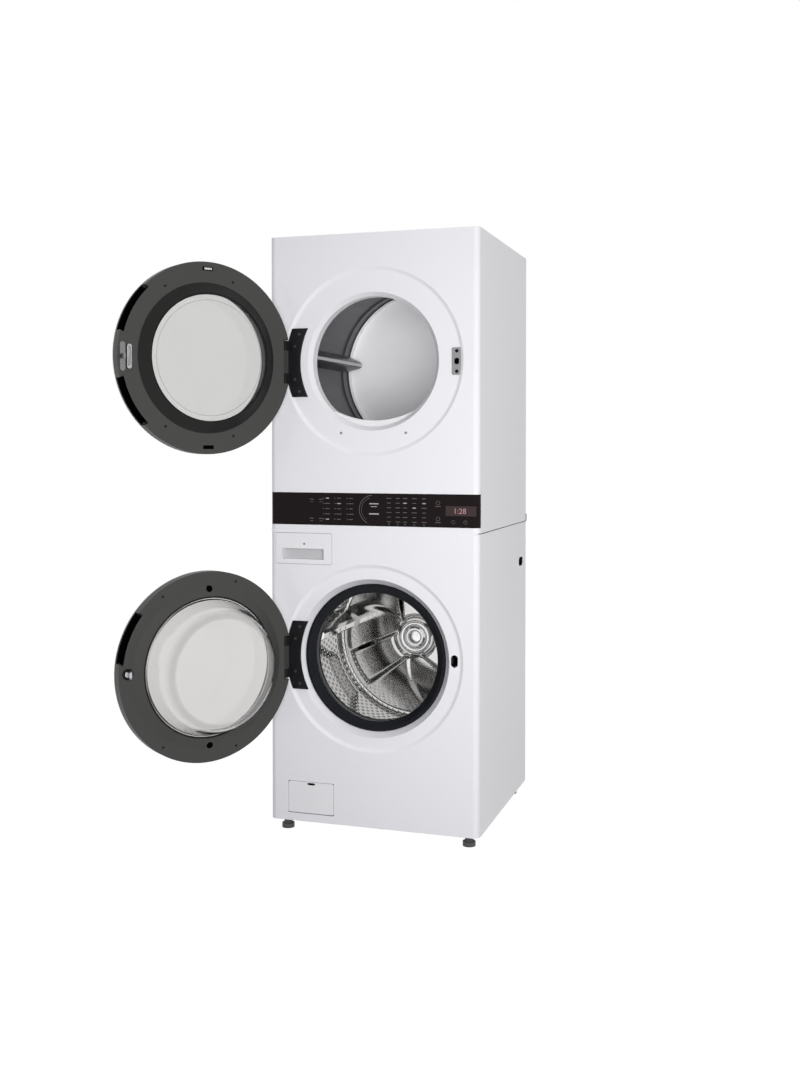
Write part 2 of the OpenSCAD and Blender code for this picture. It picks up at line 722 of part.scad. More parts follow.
module motor_rotor() color("lightgray") difference() {
    union() {
        ring_y(rotor_in, rotor_r, stator_y - 2, rotor_end_y, washer_z);
        ring_y(shaft_r, rotor_r, rotor_end_y - 4, rotor_end_y, washer_z);
        ring_y(shaft_r, 34, stator_y + 8, rotor_end_y, washer_z);
    }
    for (i = [0:11]) translate([0, 0, washer_z]) rotate([0, i * 30, 0])
        ring_y(0, 12, rotor_end_y - 6, rotor_end_y + 2, 0, 78);
}

// ---- pump behind its little door ----

pump_y1 = pump_y0 + 120;
module drain_pump() color("gainsboro") {
    difference() {
        union() {
            ring_y(pump_cap_r + 2, pump_cap_r + 6, pump_y0 - 34, pump_y0, pump_z, pump_x);
            ring_y(0, pump_cap_r + 6, pump_y0, pump_y1, pump_z, pump_x);
            ring_y(0, 24, pump_y1, pump_y1 + 50, pump_z, pump_x);
            translate([pump_x, pump_y0 + 60, foot_gap + sheet]) translate([-30, -40, 0]) cube([60, 80, 50]);
            block([pump_x + 20, pump_y0 + 60, pump_z - 8], [pump_x + 76, pump_y0 + 150, pump_z + 26]);
            // inlet that the sump hose comes down to
            hose([[sump_x, sump_y, sump_z], [sump_x, sump_y, pump_z + 90],
                [pump_x + 10, pump_y0 + 70, pump_z + 20]], sump_r - 2);
        }
        ring_y(0, pump_cap_r + 2, pump_y0 - 40, pump_y0 + 50, pump_z, pump_x);
    }
}

module pump_cap() color("dodgerblue") {
    ring_y(0, pump_cap_r + 2 - slide_gap / 2, pump_y0 - 26, pump_y0 + 30, pump_z, pump_x);
    block([pump_x - 22, pump_y0 - 38, pump_z - 4], [pump_x + 22, pump_y0 - 25, pump_z + 4]);
}

// Small door with a finger notch, hinged along its lower edge.
pump_hinge_z = pump_cover_z0 + 4;
pump_hinge_y = fy + 4;
pump_pin_r = 1.5;
pump_lug_x = 50;
pump_edge = 2.4;
module pump_cover() color("white") difference() {
    union() {
        along_y(fy, fy + 2.2) translate([pump_x, (pump_cover_z0 + pump_cover_z1) / 2])
            soft_rect(pump_cover_w, pump_cover_z1 - pump_cover_z0, 6);
        for (s = [-1, 1]) translate([pump_x + s * pump_lug_x - 5, fy + 2, pump_hinge_z - 3])
            cube([10, 5, 6]);
    }
    along_y(fy - 1, fy + 5) translate([pump_x, pump_cover_z1 - 6]) soft_rect(26, 7, 3.4);
    // the lower edge is taken off so that it swings past the panel
    translate([pump_x, fy, pump_cover_z0]) rotate([45, 0, 0])
        cube([pump_cover_w + 2, pump_edge, pump_edge], center = true);
    translate([pump_x - 60, pump_hinge_y, pump_hinge_z]) rotate([0, 90, 0])
        cylinder(r = pump_pin_r + fit, h = 120);
}

// Pins that reach in behind the front panel from a foot at each side of the cover.
module pump_pins() for (s = [-1, 1]) {
    foot_x0 = pump_cover_w / 2 + slide_gap + 0.5;
    translate([pump_x + s * (pump_lug_x - 6), pump_hinge_y, pump_hinge_z]) rotate([0, s * 90, 0])
        cylinder(r = pump_pin_r, h = foot_x0 + 11 - pump_lug_x);
    translate([pump_x + s * (foot_x0 + 4), fy + 3.6, pump_hinge_z + 4]) cube([8, 6, 16], center = true);
}

// ---- locks and hinges ----

module door_latches() color("dimgray") {
    // washer: the lock body hangs behind its hole
    difference() {
        block([washer_funnel_r + 2, dish_y + sheet, lock_z - 45], [lock_x + 18, counter_y - 2, lock_z + 45]);
        along_y(dish_y, dish_y + 22) translate([lock_x, lock_z]) soft_rect(22, 38, 10.9);
    }
    // dryer: a plate in the dish with a catch behind it
    difference() {
        union() {
            along_y(dish_y - 1.5, dish_y) intersection() {
                translate([latch_x, latch_z]) soft_rect(32, 84, 5);
                translate([0, dryer_z]) circle(dish_in - 1);
            }
            along_y(dish_y - 0.5, dish_y + 26) translate([latch_x, latch_z]) soft_rect(24, 72, 3);
        }
        along_y(dish_y - 3, dish_y + 20) translate([latch_x, latch_z]) soft_rect(14, 20, 6.9);
        for (s = [-1, 1]) ring_y(0, 3.2, dish_y - 2, dish_y + 6, latch_z + s * 31, latch_x);
    }
}

// Curved plate with two ears in front and one long pin through them.
module bracket(z) translate([0, 0, z]) {
    along_y(fy, dish_y) intersection() {
        difference() {
            circle(dish_in - 1);
            circle(bracket_r);
        }
        translate([-dish_r, -bracket_h]) square([dish_r, 2 * bracket_h]);
    }
    for (s = [0, 1]) mirror([0, 0, s]) {
        translate([-hinge_x, hinge_y, ear_in]) cylinder(r = ear_r, h = ear_out - ear_in);
        intersection() {
            block([-hinge_x - 1, hinge_y, ear_in], [-hinge_x + ear_w, fy + 1, ear_out]);
            union() {
                block([-hinge_x - 1, hinge_y - 1, 0], [-hinge_x + ear_w, fy - 0.5, ear_out + 1]);
                ring_y(0, dish_in - 1, fy - 1, fy + 2, 0);
            }
        }
    }
    translate([-hinge_x, hinge_y, -ear_out]) cylinder(r = pin_r, h = 2 * ear_out);
}

module hinge_brackets() color([0.12, 0.12, 0.12]) {
    bracket(washer_z);
    bracket(dryer_z);
}

// ---- doors ----

// The pocket in a door that its hinge ears and arm sit in.
module hinge_pocket(z) block([-door_r - 5, door_front + wall + 0.4, z - ear_out - 1.5],
    [-notch_in, door_back + 1, z + ear_out + 1.5]);

// White outer shell with a crowned front.
module door_cover(z, window) difference() {
    about_y(z) polygon([[door_r, door_back - skirt], [door_r, door_front + 6],
        [door_r - 6, door_front], [window + 24, door_front - 8], [window + 16, door_front - 6],
        [window + 16, door_front - 6 + wall], [window + 24, door_front - 8 + wall],
        [door_r - 6, door_front + wall], [door_r - wall, door_front + 7],
        [door_r - wall, door_back - skirt]]);
    hinge_pocket(z);
}

// Finger grip at angle a in the rim's free side: its hollow, and with o its walls.
grip_w = 13;
grip_d = 26;
grip_len = 156;
module grip(a, z, o) translate([0, 0, z]) rotate([0, -a, 0]) intersection() {
    over = o > 0 ? -0.5 : 1;
    ring_y(door_r - grip_w - o, door_r + over, door_back - grip_d - o, door_back + over, 0);
    block([0, door_back - grip_d - o - 1, -grip_len / 2 - o], [door_r + 2, door_back + 2, grip_len / 2 + o]);
}

// Dark inner ring: flat rim, then a bevel that rises to the window.
module door_liner(z, window, rise, grips) difference() {
    bevel_r = window + liner_ring_w;
    edge = door_back + rise;
    union() {
        about_y(z) polygon([[door_r, door_back], [bevel_r, door_back], [window + 6, edge],
            [window, edge], [window, edge - wall], [window + 4, edge - wall],
            [bevel_r - 2, door_back - wall], [window + 18, door_back - wall],
            [window + 18, door_front - 6 + wall], [window + 20, door_front - 6 + wall],
            [window + 20, door_back - wall], [door_r - wall, door_back - wall],
            [door_r - wall, door_back - skirt], [door_r, door_back - skirt]]);
        for (a = grips) grip(a, z, wall);
    }
    hinge_pocket(z);
    for (a = grips) grip(a, z, 0);
}

// Barrel on the pin, a web into the door and a tab screwed behind the rim.
tab_w = 26;
module door_arm(z) translate([0, 0, z]) difference() {
    union() {
        translate([-hinge_x, hinge_y, -arm_h]) cylinder(r = ear_r, h = 2 * arm_h);
        block([-hinge_x, hinge_y - ear_r, -arm_h], [-notch_in - 1, door_back - wall, arm_h]);
        block([-notch_in - 2, door_back - wall - 3, -arm_h], [-notch_in + tab_w, door_back - wall, arm_h]);
    }
    translate([-hinge_x, hinge_y, -arm_h - 1]) cylinder(r = pin_r + fit, h = 2 * arm_h + 2);
}

module washer_door_cover() color("white") swung() door_cover(washer_z, washer_window_r);
module washer_door_liner() color([0.28, 0.28, 0.26]) swung()
    door_liner(washer_z, washer_window_r, washer_rise, [23]);
module washer_door_arm() color("gray") swung() door_arm(washer_z);
module dryer_door_cover() color("white") swung() door_cover(dryer_z, dryer_window_r);
module dryer_door_liner() color([0.28, 0.28, 0.26]) swung()
    door_liner(dryer_z, dryer_window_r, dryer_rise, [30, -29]);
module dryer_door_arm() color("gray") swung() door_arm(dryer_z);

washer_rise = 8;
dryer_rise = 17;
pane_t = 4;

// Moulded glass bowl that keeps the wash in the drum, and the flat pane in front of it.
module washer_door_bowl() color([0.8, 0.82, 0.82, 0.4]) swung() {
    y = door_back + washer_rise - wall;
    about_y(washer_z) polygon([[washer_window_r + 3.5, y], [washer_window_r + 3.5, y - 5],
        [washer_window_r - 8, y - 5], [bowl_end_r - 2, y + bowl_depth - 10],
        [bowl_end_r - 12, y + bowl_depth - 5], [0, y + bowl_depth - 4], [0, y + bowl_depth],
        [bowl_end_r - 9, y + bowl_depth], [bowl_end_r + 3, y + bowl_depth - 8],
        [washer_window_r - 1, y + 4], [washer_window_r - 1, y]]);
    ring_y(0, washer_window_r + 16, door_front - 5, door_front - 5 + pane_t, washer_z);
}

module dryer_door_glass() color([0.7, 0.72, 0.72, 0.4]) swung() {
    y = door_back + dryer_rise - wall;
    ring_y(0, dryer_window_r + 3.5, y - pane_t, y, dryer_z);
    ring_y(0, dryer_window_r + 16, door_front - 5, door_front - 5 + pane_t, dryer_z);
}

// Hook that drops into the lock, on a rounded plate screwed to the rim.
module striker(x, z, reach, w, h, plate) {
    along_y(door_back, door_back + 1.5) translate([x, z])
        soft_rect(plate.x, plate.y, plate.x / 2 - 0.1);
    block([x - w, door_back + 1, z - h], [x + w, door_back + reach, z - h + 3]);
    block([x - w, door_back + 1, z + h - 3], [x + w, door_back + reach, z + h]);
    block([x - w, door_back + reach - 4, z - h], [x + w, door_back + reach, z + h]);
}
module washer_door_striker() color("silver") swung()
    striker(lock_x - 5, lock_z, 22, 4, 11, [33, 34]);
module dryer_door_striker() color("silver") swung() {
    striker(latch_x, latch_z, 16, 4, 7, [16, 84]);
    // long pad beside the plate that keeps the door off the front
    along_y(door_back, door_back + 5) translate([latch_x - 19, latch_z]) soft_rect(14, 72, 6.9);
}

// ---- detergent drawer ----

pull_y = fy + 17;
pull_w = 142;
pull_h = 34;
tray_y = pull_y + 5;
module detergent_drawer() color("white") difference() {
    z0 = box_z0 + 2 + slide_gap;
    top = z0 + tray_h + 1;
    side = tray_w / 2 - 2;
    y1 = fy + drawer_d;
    bay_y = tray_y + (y1 - tray_y) / 2;
    union() {
        along_y(fy - 1, fy + 8) translate([drawer_x, drawer_z0 + drawer_h / 2])
            soft_rect(drawer_w, drawer_h, 3);
        block([tray_x - tray_w / 2, fy + 7, z0], [tray_x + tray_w / 2, y1, z0 + tray_h]);
    }
    // one bay for powder on the left, two for liquids on the right
    block([tray_x - side, tray_y, z0 + 2], [tray_x - 4, y1 - 2, top]);
    block([tray_x - 2, tray_y, z0 + 2], [tray_x + side, bay_y - 1, top]);
    block([tray_x - 2, bay_y + 1, z0 + 2], [tray_x + side, y1 - 2, top]);
    // the pull, and the shallow step over it
    along_y(fy - 2, pull_y) translate([drawer_x - 3, drawer_z0 + 31.5]) soft_rect(pull_w, pull_h, 2);
    along_y(fy - 2, fy + 1) translate([drawer_x + 31, drawer_z0 + 60]) soft_rect(76, 19, 2);
}

// ---- dryer ----

bulk_r = drum_r + 22;
felt_in = drum_r - drum_wall - felt_t;
lip_back = front_bulk_y + bulk_t;
module front_bulkhead() color("lightgray") difference() {
    union() {
        ring_y(dryer_mouth_r, bulk_r, front_bulk_y, lip_back, dryer_z);
        ring_y(felt_in - 2, felt_in, front_bulk_y, drum_front_y + 20, dryer_z);
        ring_y(dryer_mouth_r, dryer_mouth_r + 2, dryer_lip_y + sheet, front_bulk_y, dryer_z);
        // feet down to the stacking plate
        for (s = [-1, 1]) block([s * (bulk_r - 21) - 20, front_bulk_y, dryer_low],
            [s * (bulk_r - 21) + 20, lip_back, dryer_z - 100]);
    }
    filter_slot(slide_gap);
}

module rear_bulkhead() color("lightgray") difference() {
    union() {
        ring_y(0, bulk_r, rear_bulk_y, rear_bulk_y + bulk_t, dryer_z);
        ring_y(felt_in - 2, felt_in, drum_back_y - 20, rear_bulk_y, dryer_z);
        for (s = [-1, 1]) {
            block([s * roller_x - 30, rear_bulk_y, dryer_low],
                [s * roller_x + 30, rear_bulk_y + bulk_t, dryer_z - 200]);
            ring_y(0, axle_r, roller_y - 6, rear_bulk_y, roller_z, s * roller_x);
            ring_y(0, axle_r + 6, roller_y + roller_w + 1, rear_bulk_y, roller_z, s * roller_x);
        }
    }
    // inlet holes for the hot air, in a fan on the right
    for (n = [0:4], i = [-4:4]) translate([0, 0, dryer_z]) rotate([0, i * 8, 0])
        ring_y(0, 5, rear_bulk_y - 1, rear_bulk_y + bulk_t + 1, 0, 120 + n * 20);
}

// Felt rings that the turning drum rubs on, front and back.
module drum_felts() color([0.15, 0.15, 0.16]) {
    ring_y(felt_in, felt_in + felt_t - gap, drum_front_y + 2, drum_front_y + 20, dryer_z);
    ring_y(felt_in, felt_in + felt_t - gap, drum_back_y - 20, drum_back_y - 2, dryer_z);
}

// Drum shell with two pressed ribs, and its three lifters inside.
drum_in = drum_r - drum_wall;
module dryer_drum() color([0.33, 0.33, 0.35]) {
    difference() {
        about_y(dryer_z) polygon([[drum_in, drum_front_y], [drum_r, drum_front_y],
            [drum_r, drum_back_y], [drum_in, drum_back_y],
            [drum_in, drum_back_y - 60], [drum_in - 5, drum_back_y - 66],
            [drum_in - 5, drum_back_y - 82], [drum_in, drum_back_y - 88],
            [drum_in, drum_front_y + 98], [drum_in - 5, drum_front_y + 92],
            [drum_in - 5, drum_front_y + 76], [drum_in, drum_front_y + 70]]);
    }
    for (i = [0:2]) translate([0, 0, dryer_z]) rotate([0, 180 + 6 + i * 120, 0])
        intersection() {
            difference() {
                along_y(drum_front_y + 26, drum_back_y - 30) paddle(drum_r, 58, 30, 0);
                along_y(drum_front_y + 28, drum_back_y - 32) paddle(drum_r, 58, 30, lifter_t);
            }
            ring_y(0, drum_in + 0.2, drum_front_y, drum_back_y, 0);
        }
}

module roller(s) color("dimgray") {
    ring_y(axle_r + fit, roller_r, roller_y, roller_y + roller_w, roller_z, s * roller_x);
}
module roller_left() roller(-1);
module roller_right() roller(1);

module dryer_motor() color("slategray") {
    difference() {
        union() {
            ring_y(0, motor_r, motor_y - motor_len, motor_y - 20, motor_z, motor_x);
            for (y = [motor_y - motor_len + 15, motor_y - 45]) block([motor_x - 50, y, dryer_low],
                [motor_x + 50, y + 10, motor_z]);
            block([motor_x - 60, motor_y - motor_len, dryer_low],
                [motor_x + 60, motor_y - 20, dryer_low + 3]);
        }
        ring_y(0, axle_r + fit, motor_y - motor_len - 1, motor_y, motor_z, motor_x);
    }
}

// Belt round the drum and the motor's pulley: two arcs joined by straight runs. The corners
// lie just outside each arc, so that the belt's flats clear what it goes round.
belt_drum_r = drum_r + gap;
belt_pulley_r = pulley_r + gap;
function arc(x, z, r, a0, a1, n) = [for (i = [0:n]) let (a = a0 + (a1 - a0) * i / n)
    [x + r / cos((a1 - a0) / n / 2) * cos(a), z + r / cos((a1 - a0) / n / 2) * sin(a)]];
module belt_outline(o) {
    dx = motor_x;
    dz = motor_z - dryer_z;
    line = atan2(dz, dx);
    open = acos((belt_drum_r - belt_pulley_r) / norm([dx, dz]));
    polygon(concat(arc(0, dryer_z, belt_drum_r + o, line + open, line + 360 - open, 48),
        arc(motor_x, motor_z, belt_pulley_r + o, line - open, line + open, 10)));
}
module drive_belt() color("black") along_y(belt_y, belt_y + belt_w) difference() {
    belt_outline(belt_t);
    belt_outline(0);
}

blower_z = motor_z;
module blower_wheel() color("gainsboro") {
    ring_y(0, axle_r, blower_y + 4, belt_y + belt_w + 6, motor_z, motor_x);
    ring_y(0, pulley_r, belt_y - 3, belt_y + belt_w + 3, motor_z, motor_x);
    difference() {
        ring_y(0, blower_r - 14, blower_y + 6, blower_y + blower_w - 8, motor_z, motor_x);
        ring_y(24, blower_r - 30, blower_y + 10, blower_y + blower_w, motor_z, motor_x);
        for (i = [0:17]) translate([motor_x, 0, motor_z]) rotate([0, i * 20, 0])
            block([blower_r - 32, blower_y + 10, -5], [blower_r - 10, blower_y + blower_w, 5]);
    }
}

exhaust_z = dryer_low + exhaust_r + 15;
duct_z0 = dryer_low + 2;
module blower_housing() color("lightgray") difference() {
    union() {
        ring_y(0, blower_r, blower_y, blower_y + blower_w, blower_z, motor_x);
        // outlet down and across to the exhaust pipe
        block([-exhaust_r - 8, blower_y, exhaust_z - exhaust_r - 4],
            [motor_x, blower_y + blower_w, exhaust_z + exhaust_r + 4]);
        block([motor_x - 40, blower_y, dryer_low], [motor_x + 40, blower_y + blower_w, dryer_low + 40]);
    }
    ring_y(0, blower_r - 4, blower_y + 3, blower_y + blower_w - 3, blower_z, motor_x);
    block([-exhaust_r - 4, blower_y + 3, exhaust_z - exhaust_r],
        [motor_x, blower_y + blower_w - 3, exhaust_z + exhaust_r]);
    ring_y(0, 46, blower_y - 1, blower_y + 10, blower_z, motor_x);
    ring_y(0, axle_r + 2, blower_y, blower_y + blower_w + 1, blower_z, motor_x);
    ring_y(0, exhaust_r - 2, blower_y + 20, blower_y + blower_w + 1, exhaust_z);
}

exhaust_out = 34;
module exhaust_pipe() color("silver") {
    ring_y(exhaust_r - 1, exhaust_r, blower_y + blower_w, by + exhaust_out, exhaust_z);
    ring_y(exhaust_r - 0.5, exhaust_r + 6, by, by + 2, exhaust_z);
}

// Sheet duct with the heating coils, up behind the rear bulkhead.
duct_y0 = rear_bulk_y + bulk_t;
duct_y1 = by - sheet - 12;
module heater_duct() color("silver") difference() {
    union() {
        block([-110, duct_y0, dryer_low + 150], [110, duct_y1, dryer_z - 110]);
        ring_y(0, 215, duct_y0, duct_y1 - 20, dryer_z);
    }
    block([-107, duct_y0 - 1, dryer_low + 153], [107, duct_y1 - 2, dryer_z]);
    ring_y(0, 212, duct_y0 - 1, duct_y1 - 22, dryer_z);
}

// Slot in the lower lip that the lint filter drops through.
module filter_slot(c) block([-filter_w / 2 - c, filter_y - c, filter_low - gap],
    [filter_w / 2 + c, filter_y + filter_t + c, dryer_z - 40]);

module lint_duct() color("gainsboro") difference() {
    x = filter_w / 2;
    union() {
        block([-x - 5, filter_y - 4, filter_low - 12],
            [x + 5, filter_y + filter_t + 4, dryer_z - dryer_mouth_r - 4]);
        block([x - 30, filter_y - 4, motor_z - 60], [motor_x + 56, blower_y, filter_low - 4]);
    }
    filter_slot(slide_gap);
    // ledges at both ends hold the filter up; the air goes down between them
    block([-x + 10, filter_y, filter_low - 9], [x - 10, filter_y + filter_t, filter_low]);
    block([x - 27, filter_y - 1, motor_z - 57], [motor_x + 53, blower_y + 1, filter_low - 7]);
}

// Mesh screen in a frame. Its grip follows the opening's lower lip.
module lint_filter() color("whitesmoke") {
    x = filter_w / 2;
    bars = 4;
    pitch = (filter_w - 12) / bars;
    difference() {
        along_y(filter_y, filter_y + filter_t) difference() {
            translate([-x, filter_low]) square([filter_w, dryer_z - 90 - filter_low]);
            translate([0, filter_arc_z]) circle(filter_arc_r, $fn = 144);
        }
        for (i = [0:bars - 1]) block([-x + 8 + i * pitch, filter_y - 1, filter_low + 8],
            [-x + 4 + (i + 1) * pitch, filter_y + 5, dryer_z - dryer_mouth_r - 12]);
        // finger hollow behind the grip
        intersection() {
            ring_y(filter_arc_r + 3, filter_arc_r + 11, filter_y + 6, filter_y + filter_t + 1, filter_arc_z);
            block([-x + 30, filter_y, filter_low], [x - 30, filter_y + filter_t + 2, dryer_z]);
        }
    }
}

// Bent lid over the mains terminals, with the entry for a cable below.
terminal_x = hw - 60;
terminal_z = cab_h - 59;
lid_w = 90;
lid_h = 56;
module terminal_cover() color("silver") difference() {
    along_y(by, by + 14) translate([terminal_x, terminal_z]) soft_rect(lid_w, lid_h, 6);
    along_y(by - 1, by + 14 - sheet) translate([terminal_x, terminal_z])
        soft_rect(lid_w - 4, lid_h - 4, 5);
    translate([terminal_x, by + 6.5, terminal_z - 40]) cylinder(r = 5.5, h = 20);
}

// ---- feet ----

module foot() color("black") {
    cylinder(r = foot_r, h = pad_h);
    cylinder(r = nut_r, h = foot_gap - gap);
    cylinder(r = stem_r, h = foot_gap + bush_h + 12);
}
module foot_front_left() translate([-foot_x, -foot_y, 0]) foot();
module foot_front_right() translate([foot_x, -foot_y, 0]) foot();
module foot_rear_left() translate([-foot_x, foot_y, 0]) foot();
module foot_rear_right() translate([foot_x, foot_y, 0]) foot();

base_pan();
washer_cabinet();
washer_front();
stack_plate();
dryer_cabinet();
dryer_front();
top_panel();
back_covers();
control_bezel();
control_glass();
control_board();
dispenser_box();
water_ports();
inner_hoses();
tub_front();
tub_rear();
counterweights();
tub_suspension();
door_gasket();
gasket_clamp();
drum_bearings();
motor_stator();
drain_pump();
door_latches();
hinge_brackets();
front_bulkhead();
rear_bulkhead();
drum_felts();
dryer_motor();
drive_belt();
blower_housing();
heater_duct();
exhaust_pipe();
lint_duct();
washer_basket();
washer_lifters();
motor_rotor();
washer_door_cover();
washer_door_liner();
washer_door_bowl();
washer_door_arm();
washer_door_striker();
dryer_door_cover();
dryer_door_liner();
dryer_door_glass();
dryer_door_arm();
dryer_door_striker();
detergent_drawer();
lint_filter();
pump_cover();
pump_cap();
dryer_drum();
roller_left();
roller_right();
blower_wheel();
foot_front_left();
foot_front_right();
foot_rear_left();
foot_rear_right();
terminal_cover();
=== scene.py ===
"""Looks for a stacked washer and dryer: finishes, trim, panel marks, drum, glass and studio."""

import json
from math import atan2, cos, hypot, pi, radians, sin, tau

import bmesh
import bpy
from bpy.props import FloatProperty, FloatVectorProperty, IntProperty, PointerProperty
from mathutils import Matrix, Vector


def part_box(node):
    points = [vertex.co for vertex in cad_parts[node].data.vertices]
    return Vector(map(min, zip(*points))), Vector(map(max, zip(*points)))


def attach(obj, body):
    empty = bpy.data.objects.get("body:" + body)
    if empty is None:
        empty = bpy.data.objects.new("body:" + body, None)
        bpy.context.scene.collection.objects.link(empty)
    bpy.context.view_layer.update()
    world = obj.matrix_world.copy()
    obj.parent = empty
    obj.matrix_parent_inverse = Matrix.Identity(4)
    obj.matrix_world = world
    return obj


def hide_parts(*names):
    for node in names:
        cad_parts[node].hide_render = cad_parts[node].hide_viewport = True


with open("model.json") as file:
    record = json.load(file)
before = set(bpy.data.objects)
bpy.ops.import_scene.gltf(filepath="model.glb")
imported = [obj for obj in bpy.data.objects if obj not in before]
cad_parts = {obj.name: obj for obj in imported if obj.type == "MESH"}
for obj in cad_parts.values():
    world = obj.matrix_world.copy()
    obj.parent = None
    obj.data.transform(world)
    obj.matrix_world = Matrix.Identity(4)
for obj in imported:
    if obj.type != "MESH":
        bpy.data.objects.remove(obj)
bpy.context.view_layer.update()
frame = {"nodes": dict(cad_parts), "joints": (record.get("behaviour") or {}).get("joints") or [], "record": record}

bl_info = {
    "name": "Laundry Tower",
    "version": (1, 0, 0),
    "blender": (4, 5, 0),
    "location": "View3D > Sidebar > Laundry",
    "description": "Dresses a stacked washer and dryer with finishes and small parts",
    "category": "Add Mesh",
}

NODES = frame["nodes"]


def joint(name):
    return next(j for j in frame["joints"] if j["name"] == name)


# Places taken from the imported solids
FRONT_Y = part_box("washer_front")[0].y
BACK_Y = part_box("washer_cabinet")[1].y
HALF_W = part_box("washer_cabinet")[1].x
WASHER_Z = joint("washer_drum_spin")["pos_m"][2]
DRYER_Z = joint("dryer_drum_spin")["pos_m"][2]
PIN = Vector(joint("washer_door_hinge")["pos_m"])
GLASS_LOW, GLASS_HIGH = (v.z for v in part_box("control_glass"))
SEAM_Z = (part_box("washer_cabinet")[1].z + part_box("dryer_cabinet")[0].z) / 2
DRAWER_LOW, DRAWER_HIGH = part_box("detergent_drawer")
DRAWER_X = (DRAWER_LOW.x + DRAWER_HIGH.x) / 2
DISH_Y = FRONT_Y + 0.006
DOOR_BACK = FRONT_Y - 0.003
DOOR_FRONT = DOOR_BACK - 0.040
OPEN = joint("washer_door_hinge")["range_deg"][1]
# The catches that the doors' strikers enter, and the hand holes in the washer's sides
LOCK_X, LOCK_Z = 0.264, WASHER_Z + 0.006
LATCH_X, LATCH_Z = 0.271, DRYER_Z - 0.005
HAND_Y, HAND_Z = 0.257, 0.826


# ---- sizes and colours that a user may change ----

def tint(name, text, default):
    return FloatVectorProperty(name=name, description=text, subtype="COLOR", size=3,
                               min=0, max=1, default=default)


def size(name, text, default, low=0.0, high=1.0):
    return FloatProperty(name=name, description=text, unit="LENGTH", default=default,
                         min=low, max=high, precision=4)


class LaundryColours(bpy.types.PropertyGroup):
    enamel: tint("Enamel", "Colour of the painted sheet", (0.785, 0.78, 0.815))
    plastic: tint("White plastic", "Colour of the door shells and the drawer", (0.78, 0.775, 0.805))
    ring: tint("Door ring", "Colour of the doors' inner rings", (0.043, 0.043, 0.041))
    bevel: tint("Door bevel", "Colour of the bevel round the dryer's window",
                (0.0125, 0.0125, 0.012))
    panel: tint("Control glass", "Colour behind the control panel's glass", (0.010, 0.0065, 0.007))
    marks: tint("Panel marks", "Colour of the printed marks", (0.10, 0.095, 0.095))
    display: tint("Display", "Colour of the lit digits", (0.30, 0.15, 0.15))
    gasket: tint("Gasket", "Colour of the rubber bellows", (0.0045, 0.0052, 0.0075))
    steel: tint("Stainless", "Colour of the washer's drum", (0.69, 0.685, 0.68))
    drum: tint("Dryer drum", "Colour of the coat in the dryer's drum", (0.043, 0.043, 0.050))
    bulkhead: tint("Dryer back wall", "Colour of the wall behind the drum", (0.90, 0.90, 0.915))
    hinge: tint("Hinge", "Colour of the hinge plates", (0.012, 0.012, 0.013))


class LaundryForm(bpy.types.PropertyGroup):
    screw_r: size("Screw head", "Radius of a screw head", 0.0042, 0.002, 0.008)
    mark_t: size("Mark lift", "How far a mark stands off the glass", 0.0002, 0.0001, 0.001)
    key_h: size("Key mark", "Height of a printed mark", 0.0065, 0.003, 0.012)
    emboss: size("Drum emboss", "Depth of the pressed spokes in the drum's back", 0.015, 0.0, 0.02)
    skin: size("Drum lining", "Gap from the drum's shell to its embossed lining",
               0.0006, 0.0002, 0.002)
    segments: IntProperty(name="Segments", description="Steps in a full turn of a round piece",
                          default=144, min=48, max=256)


class LaundryStudio(bpy.types.PropertyGroup):
    lens: FloatProperty(name="Lens", description="Focal length of the camera", default=40.61,
                        min=20, max=120, unit="CAMERA")
    turn: FloatProperty(name="Turn", description="Angle of the camera to the front",
                        default=radians(17.82), subtype="ANGLE")
    tilt: FloatProperty(name="Tilt", description="Angle that the camera looks down",
                        default=radians(1.107), subtype="ANGLE")
    key: FloatProperty(name="Key", description="Power of the big front lamp", default=76,
                       unit="POWER")
    fill: FloatProperty(name="Fill", default=23, unit="POWER",
                        description="Power of the side lamp, which the small lamps follow")
    ambient: FloatProperty(name="Ambient", description="Strength of the sky on the object",
                           default=0.16, min=0, max=2)


def colours():
    return bpy.context.scene.laundry_colours


def form():
    return bpy.context.scene.laundry_form


# ---- shader maths ----

class Signal:
    """A socket of a node. Arithmetic on it adds Math nodes."""

    def __init__(self, look, socket):
        self.look, self.socket = look, socket

    def calc(self, operation, *rest):
        return self.look.node("Math", {"operation": operation}, dict(enumerate([self, *rest])))

    def __add__(self, other):
        return self.calc("ADD", other)

    def __sub__(self, other):
        return self.calc("SUBTRACT", other)

    def __mul__(self, other):
        return self.calc("MULTIPLY", other)

    def __truediv__(self, other):
        return self.calc("DIVIDE", other)

    def __rsub__(self, other):
        return self.look.node("Math", {"operation": "SUBTRACT"}, {0: other, 1: self})

    __radd__, __rmul__ = __add__, __mul__

    def step(self, low, high):
        """0 below low, 1 above high and smooth between."""
        return self.look.node("MapRange", {"interpolation_type": "SMOOTHSTEP"},
                              {"Value": self, "From Min": low, "From Max": high})


